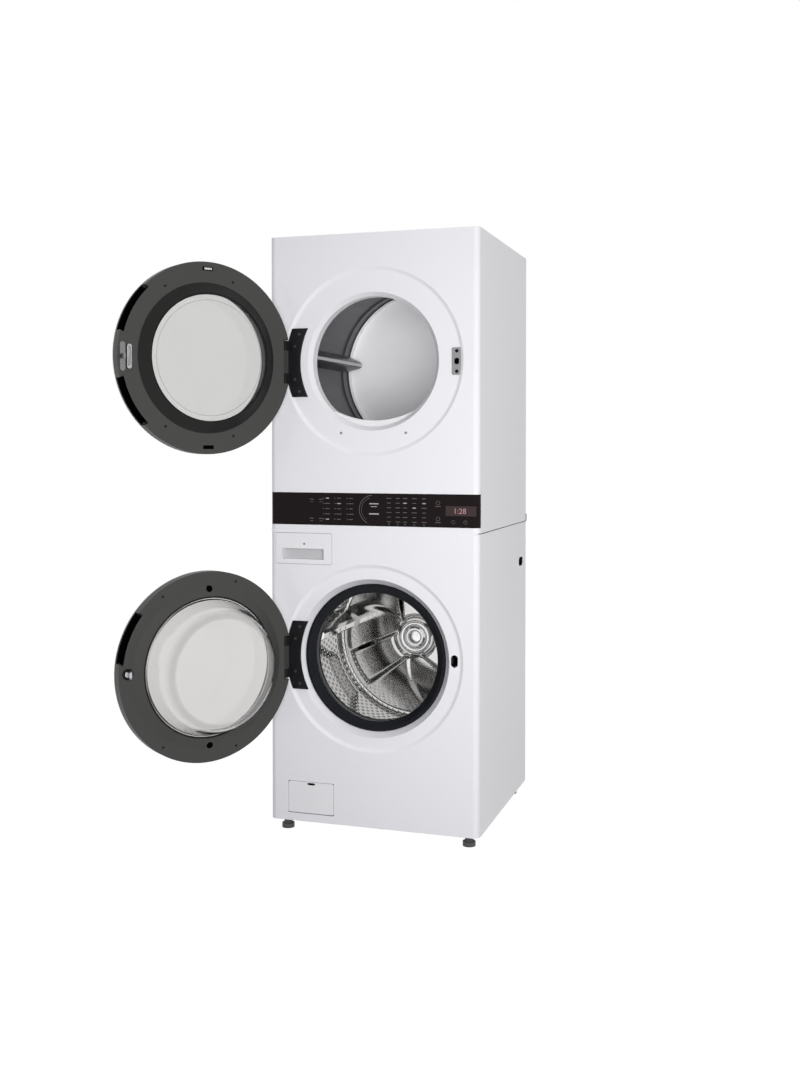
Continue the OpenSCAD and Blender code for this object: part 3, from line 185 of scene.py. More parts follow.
class Look:
    """A material made of nodes."""

    def __init__(self, name, **skin):
        self.name = name
        self.material = bpy.data.materials.new(name)
        self.material.use_nodes = True
        self.tree = self.material.node_tree
        self.skin = self.tree.nodes["Principled BSDF"]
        self.where = self.node("TexCoord", {}, {}, "Object")
        self.set(**skin)

    def node(self, kind, settings, inputs, output=0):
        made = self.tree.nodes.new("ShaderNode" + kind)
        for key, value in settings.items():
            setattr(made, key, value)
        for key, value in inputs.items():
            self.feed(made.inputs[key], value)
        return Signal(self, made.outputs[output])

    def feed(self, socket, value):
        if isinstance(value, Signal):
            self.tree.links.new(value.socket, socket)
        elif socket.type == "RGBA" and not isinstance(value, (int, float)):
            socket.default_value = (*value[:3], 1)
        else:
            socket.default_value = value

    def set(self, **values):
        for key, value in values.items():
            self.feed(self.skin.inputs[key.replace("_", " ").title().replace("Ior", "IOR")], value)
        return self

    def noise(self, scale, detail=2.0, place=None, roughness=0.5):
        return self.node("TexNoise", {}, {"Vector": place or self.where, "Scale": scale,
                                          "Detail": detail, "Roughness": roughness})

    def stretched(self, scale):
        return self.node("Mapping", {}, {"Vector": self.where, "Scale": scale})

    def mixed(self, factor, a, b):
        return self.node("Mix", {"data_type": "RGBA"}, {0: factor, 6: a, 7: b}, 2)

    def tone(self, factor, colour, low, high):
        """A colour that goes from low to high times itself with factor."""
        return self.mixed(factor, shade(colour, low), shade(colour, high))

    def bump(self, height, strength=0.2, distance=0.001):
        self.set(normal=self.node("Bump", {}, {"Height": height, "Strength": strength,
                                               "Distance": distance}))
        return self

    def axes(self, place=None):
        split = self.node("SeparateXYZ", {}, {"Vector": place or self.where})
        nodes = split.socket.node.outputs
        return [Signal(self, nodes[i]) for i in range(3)]

    def about(self, z, place=None):
        """Radius and angle about a line along Y at height z, and the place along it."""
        px, py, pz = self.axes(place)
        up = pz - z
        return (px * px + up * up).calc("SQRT"), px.calc("ARCTAN2", up), py


def shade(colour, k):
    return tuple(min(1.0, c * k) for c in colour[:3])


def enamel(name, colour):
    look = Look(name, coat_weight=0.35, coat_roughness=0.08)
    peel = look.noise(620, 1.5)
    cloud = look.noise(3.2, 3)
    look.set(base_color=look.tone(cloud, colour, 0.985, 1.015),
             roughness=0.30 + cloud * 0.08)
    return look.bump(peel, 0.05, 0.0004)


def moulded(name, colour, roughness=0.42, grain=1400, strength=0.12, coat=0.0, spread=0.04,
            shine=0.5):
    look = Look(name, coat_weight=coat, coat_roughness=0.1, specular_ior_level=shine)
    speck = look.noise(grain, 2)
    cloud = look.noise(14, 3)
    look.set(base_color=look.tone(cloud, colour, 1 - spread, 1 + spread),
             roughness=roughness - 0.05 + cloud * 0.1)
    return look.bump(speck, strength, 0.0002)


def brushed(name, colour, roughness=0.3, scale=(40, 900, 900), strength=0.15):
    look = Look(name, metallic=1.0)
    lines = look.noise(1.0, 3, look.stretched(scale))
    look.set(base_color=look.tone(lines, colour, 0.9, 1.08),
             roughness=roughness - 0.07 + lines * 0.14)
    return look.bump(lines, strength, 0.0001)


def spangled(name, colour):
    look = Look(name, metallic=0.85)
    cell = look.node("TexVoronoi", {}, {"Vector": look.where, "Scale": 90.0}, "Color")
    flake = look.node("SeparateColor", {}, {"Color": cell})
    cloud = look.noise(9, 3)
    look.set(base_color=look.tone(flake * 0.6 + cloud * 0.4, colour, 0.8, 1.12),
             roughness=0.34 + flake * 0.16)
    return look.bump(flake, 0.06, 0.0002)


def cast(name, colour, scale=180, strength=0.5):
    look = Look(name)
    pits = look.noise(scale, 5, None, 0.6)
    look.set(base_color=look.tone(pits, colour, 0.75, 1.2),
             roughness=0.62 + pits * 0.2)
    return look.bump(pits, strength, 0.001)


def rubber(name, colour, roughness=0.5, shine=0.45):
    look = Look(name, specular_ior_level=shine)
    grain = look.noise(420, 4)
    bloom = look.noise(17, 3)
    look.set(base_color=look.tone(bloom, colour, 0.8, 1.35),
             roughness=roughness - 0.06 + bloom * 0.14)
    return look.bump(grain, 0.1, 0.0003)


def felt(name, colour):
    look = Look(name, sheen_weight=0.6, sheen_roughness=0.5)
    fibres = look.noise(1.0, 4, look.stretched((900, 260, 900)))
    look.set(base_color=look.tone(fibres, colour, 0.5, 2.0),
             roughness=0.85 + fibres * 0.12)
    return look.bump(fibres, 0.7, 0.0006)


def clear(name, colour, z, band, depth, roughness=0.015, haze=0.02):
    """Glass of a door, with painted shade: a little darker in a band round its curve, where the glass turns the
    light.
    """
    look = Look(name, transmission_weight=1.0, ior=1.47)
    smear = look.noise(6, 3)
    place, turn, _ = swung().inverted().decompose()
    closed = look.node("Mapping", {}, {"Vector": look.where, "Location": place,
                                       "Rotation": turn.to_euler()})
    radius, _, along = look.about(z, closed)
    a, b, c, d = band
    # painted shade: the glass's colour darkens in a ring round its curve
    bend_shade = radius.step(a, b) * (1 - radius.step(c, d)) * along.step(depth - 0.004, depth)
    look.set(base_color=look.mixed(bend_shade, look.tone(smear, colour, 0.985, 1.01),
                                   shade(colour, 0.78)),
             roughness=roughness + smear * haze)
    return look


def washed_steel(name, colour):
    """Polished stainless with rows of holes and pressed dots on the drum's wall; the holes are painted near black
    as painted shade.
    """
    look = Look(name, metallic=1.0)
    radius, angle, along = look.about(WASHER_Z)
    wall_r, pitch = 0.2794, 0.0219
    arc = angle * wall_r
    row = (along / pitch).calc("FLOOR")
    shift = row.calc("MODULO", 2.0) * (pitch / 2)
    u = ((arc + shift) / pitch).calc("FRACT") - 0.5
    v = (along / pitch).calc("FRACT") - 0.5
    spot = ((u * u) + (v * v)).calc("SQRT") * pitch
    wall = radius.step(0.268, 0.274)
    # painted shade: the holes are painted near black
    hole_shade = (1 - spot.step(0.0015, 0.0019)) * wall
    press = (1 - spot.step(0.0022, 0.0085)) * wall
    grain = look.noise(1.0, 3, look.stretched((260, 30, 260)))
    look.set(base_color=look.mixed(hole_shade, look.tone(grain, colour, 0.93, 1.05),
                                   (0.012, 0.012, 0.013)),
             roughness=0.05 + grain * 0.08 + hole_shade * 0.4)
    return look.bump(press * -1.0 + grain * 0.05, 0.5, 0.0022)


def powder_drum(name, colour):
    look = Look(name, coat_weight=0.12, coat_roughness=0.25)
    grain = look.noise(900, 2)
    scuff = look.noise(1.0, 4, look.stretched((60, 6, 60)))
    look.set(base_color=look.tone(scuff, colour, 0.86, 1.2),
             roughness=0.34 + scuff * 0.16)
    return look.bump(grain, 0.1, 0.0003)


def back_wall(name, colour):
    look = Look(name, coat_weight=0.25, coat_roughness=0.2)
    radius = look.about(DRYER_Z)[0]
    rings = (radius * 160).calc("SINE") * 0.5 + 0.5
    grain = look.noise(7, 3)
    look.set(base_color=look.tone(grain, colour, 0.95, 1.05),
             roughness=0.30 + grain * 0.1)
    return look.bump(rings * 0.1 + look.noise(700, 2) * 0.3, 0.08, 0.0006)


def meshed_filter(name, colour):
    look = Look(name)
    px, _, pz = look.axes()
    weave = ((px * 2600).calc("SINE") * (pz * 2600).calc("SINE")) * 0.5 + 0.5
    cloud = look.noise(20, 3)
    look.set(base_color=look.tone(cloud, colour, 0.95, 1.03),
             roughness=0.42 + cloud * 0.1)
    return look.bump(weave, 0.08, 0.0003)


def wound_copper(name, colour):
    look = Look(name, coat_weight=0.4)
    turns = look.noise(1.0, 2, look.stretched((30, 1500, 30)))
    look.set(base_color=look.tone(turns, colour, 0.5, 1.3),
             roughness=0.35 + turns * 0.25)
    return look.bump(turns, 0.5, 0.0004)


def board(name, colour):
    look = Look(name, coat_weight=0.5)
    cell = look.node("TexVoronoi", {"distance": "CHEBYCHEV"},
                     {"Vector": look.where, "Scale": 220.0})
    track = cell.step(0.35, 0.4)
    look.set(base_color=look.tone(track, colour, 0.7, 1.6),
             roughness=0.35 + track * 0.2)
    return look.bump(track, 0.3, 0.0002)


def panel_glass(name, colour):
    look = Look(name, specular_ior_level=0.07)
    smear = look.noise(9, 3)
    look.set(base_color=look.tone(smear, colour, 0.8, 1.25),
             roughness=0.08 + smear * 0.06)
    return look.bump(look.noise(30, 2), 0.02, 0.0002)


def lit(name, colour, strength):
    look = Look(name, emission_strength=strength, roughness=0.4)
    flicker = look.noise(60, 2)
    glow = look.tone(flicker, colour, 0.85, 1.1)
    look.set(base_color=glow, emission_color=glow)
    return look


FINISHES = {}


def finishes():
    """One look for each of the record's slots, and a few more for the small parts."""
    c = colours()
    made = [
        enamel("white_enamel", c.enamel),
        spangled("zinc_sheet", (0.60, 0.61, 0.62)),
        moulded("stack_steel", (0.035, 0.035, 0.038), 0.5, 700, 0.2),
        panel_glass("panel_glass", c.panel),
        moulded("bezel_white", c.plastic, 0.32, 1400, 0.05, 0.2, 0.012),
        board("circuit_board", (0.02, 0.12, 0.05)),
        moulded("box_plastic", (0.66, 0.66, 0.66), 0.45),
        moulded("port_plastic", (0.55, 0.55, 0.57), 0.4),
        rubber("hose_rubber", (0.04, 0.04, 0.042)),
        moulded("tub_plastic", (0.52, 0.55, 0.57), 0.5, 500, 0.3),
        cast("weight_iron", (0.12, 0.12, 0.125)),
        brushed("spring_steel", (0.42, 0.43, 0.45), 0.35, (300, 300, 40)),
        rubber("gasket_rubber", c.gasket, 0.30, 0.14),
        brushed("clamp_steel", (0.6, 0.6, 0.62)),
        brushed("bearing_steel", (0.55, 0.55, 0.57), 0.22),
        wound_copper("stator_plastic", (0.45, 0.17, 0.06)),
        moulded("pump_plastic", (0.50, 0.51, 0.53), 0.45),
        brushed("latch_metal", (0.33, 0.33, 0.34), 0.34, (200, 200, 200), 0.1),
        moulded("hinge_black", c.hinge, 0.38, 900, 0.15, shine=0.12),
        back_wall("bulkhead_grey", c.bulkhead),
        felt("felt_black", (0.025, 0.025, 0.028)),
        moulded("motor_steel", (0.1, 0.11, 0.13), 0.4, 500, 0.3),
        rubber("belt_rubber", (0.012, 0.012, 0.012)),
        moulded("duct_plastic", (0.5, 0.5, 0.5), 0.5),
        brushed("duct_steel", (0.62, 0.62, 0.63), 0.3, (500, 30, 500)),
        washed_steel("stainless", c.steel),
        brushed("rotor_steel", (0.5, 0.5, 0.51), 0.3),
        moulded("door_white", c.plastic, 0.30, 1400, 0.04, 0.3, 0.012),
        moulded("door_dark", c.ring, 0.44, 1100, 0.18, 0.0, 0.06, 0.3),
        clear("bowl_glass", (0.80, 0.79, 0.785), WASHER_Z,
              (0.150, 0.160, 0.166, 0.184), DOOR_BACK + 0.078),
        clear("door_glass", (0.79, 0.79, 0.785), DRYER_Z,
              (0.170, 0.1715, 0.173, 0.1745), DOOR_BACK, 0.03, 0.03),
        moulded("bevel_dark", c.bevel, 0.36, 1100, 0.12, 0.0, 0.06, 0.14),
        cast("arm_metal", (0.022, 0.022, 0.023), 260, 0.25),
        brushed("strike_metal", (0.24, 0.24, 0.24), 0.3, (60, 700, 60), 0.08),
        moulded("drawer_plastic", c.plastic, 0.32, 1400, 0.04, 0.2, 0.012),
        meshed_filter("filter_plastic", (0.76, 0.76, 0.775)),
        moulded("cap_plastic", (0.04, 0.16, 0.42), 0.38),
        powder_drum("drum_grey", c.drum),
        rubber("roller_rubber", (0.05, 0.05, 0.05)),
        moulded("fan_plastic", (0.5, 0.5, 0.49), 0.45),
        rubber("foot_black", (0.06, 0.06, 0.06), 0.55),
        moulded("mark_print", c.marks, 0.5, 1400, 0.02),
        lit("mark_lit", (0.30, 0.29, 0.30), 0.2),
        lit("display_lit", c.display, 0.55),
        lit("display_glow", (0.014, 0.004, 0.005), 0.2),
        brushed("screw_steel", (0.45, 0.45, 0.46), 0.28, (400, 400, 400), 0.1),
        brushed("bright_steel", (0.85, 0.85, 0.86), 0.12, (60, 60, 60), 0.03),
        brushed("hub_white", (0.93, 0.93, 0.93), 0.22, (60, 60, 60), 0.02),
        moulded("black_trim", (0.005, 0.005, 0.0055), 0.34, 1000, 0.12, shine=0.14),
        # near black without shine: the black of the door buffers, and painted shade in the grip recesses and the
        # catch throats
        moulded("pit_black", (0.0012, 0.0012, 0.0012), 0.6, 1000, 0.05, shine=0.0),
        # light grey for painted highlights on the dryer's lifter crests, strike pad rim and top buffer
        moulded("blade_light", (0.52, 0.52, 0.53), 0.4),
        moulded("grey_trim", (0.23, 0.23, 0.24), 0.42, 1200, 0.1),
        moulded("soft_grey", (0.50, 0.50, 0.515), 0.42, 1200, 0.1),
    ]
    FINISHES.update({look.name: look.material for look in made})


# ---- shapes ----

def new_piece(name, mesh_maker, body, finish, smooth=True, sharp=38):
    """Runs mesh_maker on an empty bmesh and makes a piece of it that rides on body.

    A door's piece is made shut, and is swung open with its door.
    """
    shell = bmesh.new()
    mesh_maker(shell)
    if body in ("washer_door", "dryer_door"):
        bmesh.ops.transform(shell, matrix=swung(), verts=shell.verts)
    bmesh.ops.remove_doubles(shell, verts=shell.verts, dist=1e-6)
    bmesh.ops.recalc_face_normals(shell, faces=shell.faces)
    mesh = bpy.data.meshes.new(name)
    shell.to_mesh(mesh)
    shell.free()
    made = bpy.data.objects.new(name, mesh)
    bpy.context.scene.collection.objects.link(made)
    mesh.materials.append(FINISHES[finish])
    if smooth:
        mesh.shade_smooth()
        mesh.set_sharp_from_angle(angle=radians(sharp))
    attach(made, body)
    return made


def flow(points, steps=5, closed=False):
    """A smooth line through points."""
    n = len(points)
    pts = [Vector(p) for p in points]
    out = []
    for i in range(n if closed else n - 1):
        a, b, c, d = (pts[(i + k) % n] if closed else pts[max(0, min(n - 1, i + k))]
                      for k in (-1, 0, 1, 2))
        for s in range(steps):
            t = s / steps
            out.append(0.5 * (2 * b + (c - a) * t + (2 * a - 5 * b + 4 * c - d) * t * t
                              + (3 * b - a - 3 * c + d) * t ** 3))
    if not closed:
        out.append(pts[-1])
    return out


def turned(shell, profile, z, x=0.0, closed=False, start=0.0, sweep=tau, steps=None):
    """Spins a line of (radius, y) about a line along Y."""
    verts = [shell.verts.new((x + r * sin(start), y, z + r * cos(start))) for r, y in profile]
    edges = [shell.edges.new(pair) for pair in zip(verts, verts[1:])]
    if closed:
        edges.append(shell.edges.new((verts[-1], verts[0])))
    full = abs(sweep - tau) < 1e-6
    n = steps or max(6, round(form().segments * sweep / tau))
    bmesh.ops.spin(shell, geom=verts + edges, cent=(x, 0, z), axis=(0, 1, 0), dvec=(0, 0, 0),
                   angle=sweep, steps=n, use_merge=full, use_duplicate=False)
    return shell


def slab(shell, low, high, soft=0.0, segments=2):
    """A block between two corners with rounded edges."""
    low, high = Vector(low), Vector(high)
    made = bmesh.ops.create_cube(shell, size=1, matrix=Matrix.Translation((low + high) / 2)
                                 @ Matrix.Diagonal((*(high - low), 1)))["verts"]
    if soft:
        edges = list({e for v in made for e in v.link_edges})
        bmesh.ops.bevel(shell, geom=edges, offset=soft, offset_type="OFFSET", segments=segments,
                        profile=0.5, affect="EDGES", material=-1)
    return made


def rod(shell, a, b, r, segments=16, soft=0.0):
    """A round bar from a to b."""
    a, b = Vector(a), Vector(b)
    d = b - a
    turn = d.to_track_quat("Z", "Y").to_matrix().to_4x4()
    made = bmesh.ops.create_cone(shell, cap_ends=True, segments=segments, radius1=r,
                                 radius2=r, depth=d.length,
                                 matrix=Matrix.Translation((a + b) / 2) @ turn)["verts"]
    if soft:
        far = [v for v in made if (v.co - b).dot(d) > -1e-9]
        edges = list({e for v in far for e in v.link_edges if e.other_vert(v) in far
                      and len(e.link_faces) == 2})
        bmesh.ops.bevel(shell, geom=edges, offset=soft, offset_type="OFFSET", segments=2,
                        profile=0.5, affect="EDGES", material=-1)
    return made


def screw(shell, place, out=(0, -1, 0), r=None, high=0.0016):
    """A cross-head screw whose head stands out along a direction."""
    r = r or form().screw_r
    place, out = Vector(place), Vector(out).normalized()
    rod(shell, place - out * 0.0005, place + out * high, r, 18, high * 0.45)
    side = out.orthogonal().normalized()
    top = Matrix.Translation(place + out * (high - 0.0001))
    for k in (side, out.cross(side)):
        turn = Matrix((k, out.cross(k), out)).transposed().to_4x4()
        bmesh.ops.create_cube(shell, size=1, matrix=top @ turn
                              @ Matrix.Diagonal((r * 1.15, r * 0.2, 0.0006, 1)))


def stadium(half, r, n):
    """Outline of a slot with round ends, as places along it and across it."""
    return [((half - r) * (1 if cos(a) > 0 else -1) + r * cos(a), r * sin(a))
            for a in (tau * k / n for k in range(n))]


def sleeve(shell, outlines):
    """A wall from each outline to the next. Returns the last outline's vertices."""
    loops = []
    for outline in outlines:
        ring = [shell.verts.new(place) for place in outline]
        loops.append([shell.edges.new(pair) for pair in zip(ring, ring[1:] + ring[:1])])
    for a, b in zip(loops, loops[1:]):
        bmesh.ops.bridge_loops(shell, edges=a + b)
    return ring


def clamp(value):
    return max(0.0, min(1.0, value))


def swung():
    """The matrix that opens a closed door."""
    return (Matrix.Translation(PIN) @ Matrix.Rotation(-radians(OPEN), 4, "Z")
            @ Matrix.Translation(-PIN))


def on_rim(r, a, y, z):
    """A point at radius r and clock angle a (0 up, turning to the right) about an axis."""
    return Vector((r * sin(radians(a)), y, z + r * cos(radians(a))))


# ---- operators ----

class LaundryOperator:
    bl_options = {"REGISTER", "UNDO"}


class LAUNDRY_OT_finish_solids(LaundryOperator, bpy.types.Operator):
    """Makes every finish and puts it on the solids"""
    bl_idname = "laundry.finish_solids"
    bl_label = "Finish the solids"

    def execute(self, context):
        finishes()
        for part in frame["record"]["subparts"]:
            node = NODES[part["node"]]
            for place in node.material_slots:
                place.material = FINISHES[part["material_slot"]]
        return {"FINISHED"}


def upright(x, y, z):
    """The matrix that stands a flat shape up at a place, facing the front."""
    return Matrix.Translation((x, y, z)) @ Matrix.Rotation(radians(90), 4, "X")


def bar(shell, x, z, w, h, y):
    bmesh.ops.create_grid(shell, x_segments=1, y_segments=1, size=0.5,
                          matrix=upright(x, y, z) @ Matrix.Diagonal((w, h, 1, 1)))


def ring_mark(shell, x, z, r, w, y, start=0.0, sweep=tau):
    turned(shell, [(r - w / 2, y), (r + w / 2, y)], z, x, start=start, sweep=sweep,
           steps=max(8, round(40 * sweep / tau)))


class LAUNDRY_OT_panel_marks(LaundryOperator, bpy.types.Operator):
    """Prints plain marks on the control panel and lights its display"""
    bl_idname = "laundry.panel_marks"
    bl_label = "Control marks"

    def execute(self, context):
        y = FRONT_Y - form().mark_t
        mid = (GLASS_LOW + GLASS_HIGH) / 2
        h = form().key_h

        def printed(shell):
            # two columns of short option bars on the washer's side
            for x in (-0.200, -0.169):
                for z in (mid + 0.030, mid - 0.030):
                    bar(shell, x, z, 0.014, h * 0.28, y)
                    bar(shell, x, z - 0.008, 0.010, h * 0.22, y)
            for x in (-0.1473, -0.1088, -0.0688):
                for k in range(5):
                    z = mid + 0.034 - k * 0.0165
                    bar(shell, x, z, 0.017 if k % 2 else 0.013, h * 0.3, y)
                    ring_mark(shell, x - 0.013, z, 0.0016, 0.0008, y)
            # broken ring round the two lit labels
            ring_mark(shell, 0.004, mid, 0.045, 0.0016, y, radians(205), radians(150))
            ring_mark(shell, 0.004, mid, 0.038, 0.0010, y, radians(215), radians(130))
            # columns of option bars and key rings on the dryer's side
            for i, x in enumerate((0.056, 0.085, 0.108, 0.138, 0.169)):
                for k in range(6):
                    z = mid + 0.036 - k * 0.0145
                    bar(shell, x, z, (0.016, 0.012, 0.014)[(i + k) % 3], h * 0.28, y)
                ring_mark(shell, x, mid - 0.044, 0.0022, 0.0009, y)
            for z in (mid + 0.024, mid - 0.025):
                ring_mark(shell, 0.2135, z, 0.0058, 0.0012, y)
                bar(shell, 0.2135, z - 0.011, 0.018, h * 0.26, y)
            # start, stop and power keys
            for x, z in ((0.300, mid - 0.034), (0.262, mid - 0.034)):
                ring_mark(shell, x, z, 0.0052, 0.0010, y)
            bar(shell, 0.300, mid - 0.0305, 0.0011, 0.005, y)

        def lit_labels(shell):
            bar(shell, 0.007, mid + 0.0185, 0.030, h * 0.55, y)
            bar(shell, 0.007, mid + 0.0095, 0.020, h * 0.34, y)
            bar(shell, 0.007, mid - 0.0130, 0.032, h * 0.6, y)
            for x, z in ((-0.1473, mid + 0.034), (-0.1473, mid - 0.032), (-0.1088, mid + 0.0175),
                         (0.108, mid + 0.0215), (0.138, mid + 0.007), (0.169, mid + 0.0215)):
                bar(shell, x, z, 0.010, h * 0.5, y - 0.0001)

        new_piece("control_marks", printed, "cabinet", "mark_print", smooth=False)
        new_piece("control_lit_labels", lit_labels, "cabinet", "mark_lit", smooth=False)
        new_piece("display_window", lambda s: bar(s, 0.286, mid, 0.096, 0.030, y + 0.00005),
                  "cabinet", "display_glow", smooth=False)
        self.digits(0.262, mid - 0.008, 0.0175, "1:28", y - 0.0001)
        return {"FINISHED"}

    def digits(self, x, z, high, words, y):
        text = bpy.data.curves.new("display_digits", "FONT")
        text.body, text.size, text.resolution_u = words, high * 1.35, 3
        holder = bpy.data.objects.new("digits_source", text)
        bpy.context.scene.collection.objects.link(holder)
        bpy.context.view_layer.update()
        mesh = bpy.data.meshes.new_from_object(
            holder.evaluated_get(bpy.context.evaluated_depsgraph_get()))
        bpy.data.objects.remove(holder)
        mesh.transform(upright(x, y, z))
        mesh.materials.clear()
        mesh.materials.append(FINISHES["display_lit"])
        made = bpy.data.objects.new("display_digits", mesh)
        bpy.context.scene.collection.objects.link(made)
        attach(made, "cabinet")


class LAUNDRY_OT_gasket(LaundryOperator, bpy.types.Operator):
    """Turns the layered rubber bellows between the mouth and the tub"""
    bl_idname = "laundry.gasket"
    bl_label = "Door gasket"

    def execute(self, context):
        lip = FRONT_Y + 0.030

        def bellows(shell):
            outer = [(0.2312, lip + 0.0010), (0.2316, lip - 0.0030), (0.2290, lip - 0.0062),
                     (0.2240, lip - 0.0072), (0.2180, lip - 0.0048), (0.2115, lip + 0.0002),
                     (0.2050, lip + 0.0040), (0.2022, lip + 0.0062), (0.2030, lip + 0.0088),
                     (0.2060, lip + 0.0086), (0.2120, lip + 0.0068), (0.2128, lip + 0.0100),
                     (0.2085, lip + 0.0122), (0.2082, lip + 0.0142), (0.2125, lip + 0.0158),
                     (0.2225, lip + 0.0150), (0.2330, lip + 0.0168), (0.2362, lip + 0.0200),
                     (0.2360, lip + 0.0238), (0.2325, lip + 0.0240), (0.2322, lip + 0.0215),
                     (0.2300, lip + 0.0190), (0.2215, lip + 0.0176), (0.2178, lip + 0.0160),
                     (0.2176, lip + 0.0075), (0.2200, lip + 0.0045), (0.2290, lip + 0.0050)]
            turned(shell, flow(outer, 4, True), WASHER_Z, closed=True)

        made = new_piece("gasket_bellows", bellows, "cabinet", "gasket_rubber",
                         sharp=60)
        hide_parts("door_gasket")
        return {"FINISHED"}


class LAUNDRY_OT_washer_drum(LaundryOperator, bpy.types.Operator):
    """Lines the washer's drum with polished steel and a back with pressed spokes"""
    bl_idname = "laundry.washer_drum"
    bl_label = "Washer drum"

    def execute(self, context):
        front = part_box("washer_basket")[0].y
        back = front + 0.392
        gap = form().skin
        wall = 0.280 - gap
        hub_r = 0.060
        depth = form().emboss

        def spokes(angle, r):
            """Height of the pressed pattern in the drum's back."""
            star = 0.0
            for k in range(3):
                off = abs((angle - k * tau / 3 + pi) % tau - pi) * r
                star = max(star, 1 - clamp((off - 0.030 - r * 0.10) / 0.020))
            grow = clamp((r - hub_r) / 0.02) * clamp((0.258 - r) / 0.03)
            star = star * star * (3 - 2 * star)
            swirl = 0.5 + 0.5 * cos(3 * (angle - pi / 3) + 9 * r)
            between = (1 - star) * grow * max(0.0, swirl - 0.35) * 0.9
            return (star * 0.9 - between) * grow * depth

        def lining(shell):
            n = 216
            rim = flow([(0.2075, front + 0.0075), (0.2088, front + 0.0036), (0.215, front + 0.0042),
                        (0.262, front + 0.0130 + gap), (0.2735, front + 0.0225),
                        (wall - 0.0008, front + 0.0345), (wall, front + 0.046)], 4)
            turned(shell, rim + [Vector((wall, front + 0.046 + 0.029 * k)) for k in range(1, 11)]
                   + flow([(wall, back - 0.030), (wall - 0.001, back - 0.018),
                           (wall - 0.006, back - 0.008), (wall - 0.014, back - 0.0045)], 3),
                   WASHER_Z, steps=n)
            radii = [hub_r + (wall - 0.014 - hub_r) * k / 44 for k in range(45)]
            disc = bmesh.new()
            turned(disc, [(r, back - 0.0045) for r in radii], WASHER_Z, steps=n)
            for v in disc.verts:
                r, a = hypot(v.co.x, v.co.z - WASHER_Z), atan2(v.co.x, v.co.z - WASHER_Z)
                v.co.y -= max(-0.002, spokes(a, r))
            keep = bpy.data.meshes.new("drum_back_source")
            disc.to_mesh(keep)
            disc.free()
            shell.from_mesh(keep)
            bpy.data.meshes.remove(keep)

        def hub(shell):
            turned(shell, flow([(0.0630, back - 0.0035), (0.0605, back - 0.0110),
                                (0.0560, back - 0.0175), (0.0480, back - 0.0205),
                                (0.0400, back - 0.0185), (0.0360, back - 0.0130),
                                (0.0345, back - 0.0085)], 5), WASHER_Z, steps=96)

        def groove(shell):
            turned(shell, [(0.0346, back - 0.0100), (0.0344, back - 0.0086),
                           (0.0262, back - 0.0086), (0.0260, back - 0.0100)], WASHER_Z, steps=96)

        def cap(shell):
            turned(shell, flow([(0.0262, back - 0.0086), (0.0252, back - 0.0150),
                                (0.0215, back - 0.0185), (0.0120, back - 0.0200),
                                (0.0002, back - 0.0204)], 5), WASHER_Z, steps=96)

        new_piece("drum_lining", lining, "washer_drum", "stainless", sharp=50)
        new_piece("drum_hub", hub, "washer_drum", "hub_white", sharp=60)
        new_piece("drum_hub_groove", groove, "washer_drum", "black_trim", sharp=60)
        new_piece("drum_hub_cap", cap, "washer_drum", "bright_steel", sharp=60)
        return {"FINISHED"}


class LAUNDRY_OT_dryer_drum(LaundryOperator, bpy.types.Operator):
    """Lays light strips along the crests of the dryer's lifters as a painted highlight"""
    bl_idname = "laundry.dryer_drum"
    bl_label = "Dryer drum"

    def execute(self, context):
        low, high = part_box("dryer_drum")
        crest = 0.224

        def crest_highlights(shell):
            # painted highlight: a thin light strip on each lifter's crest
            for k in range(3):
                made = slab(shell, (crest - 0.0012, low.y + 0.030, -0.0050),
                            (crest + 0.0002, high.y - 0.034, 0.0050))
                bmesh.ops.transform(shell, verts=made, matrix=Matrix.Translation((0, 0, DRYER_Z))
                                    @ Matrix.Rotation(radians(186 + 120 * k), 4, "Y"))

        new_piece("dryer_lifter_caps", crest_highlights, "dryer_drum", "blade_light")
        return {"FINISHED"}


class LAUNDRY_OT_hinges(LaundryOperator, bpy.types.Operator):
    """Adds the hinges' screws and knuckle collars"""
    bl_idname = "laundry.hinges"
    bl_label = "Hinge hardware"

    def execute(self, context):
        def screws(shell):
            for z in (WASHER_Z, DRYER_Z):
                for s in (-1, 1):
                    for r, h in ((0.258, 0.090), (0.262, 0.052)):
                        x = -(r * r - h * h) ** 0.5
                        screw(shell, (x, FRONT_Y - 0.0002, z + s * h), r=0.0046)

        def collars(shell):
            for z in (WASHER_Z, DRYER_Z):
                for s in (-1, 1):
                    rod(shell, (PIN.x, PIN.y, z + s * 0.0670), (PIN.x, PIN.y, z + s * 0.0700),
                        0.0072, 24, 0.0012)

        new_piece("hinge_screws", screws, "cabinet", "stack_steel")
        new_piece("hinge_collars", collars, "cabinet", "screw_steel")
        return {"FINISHED"}


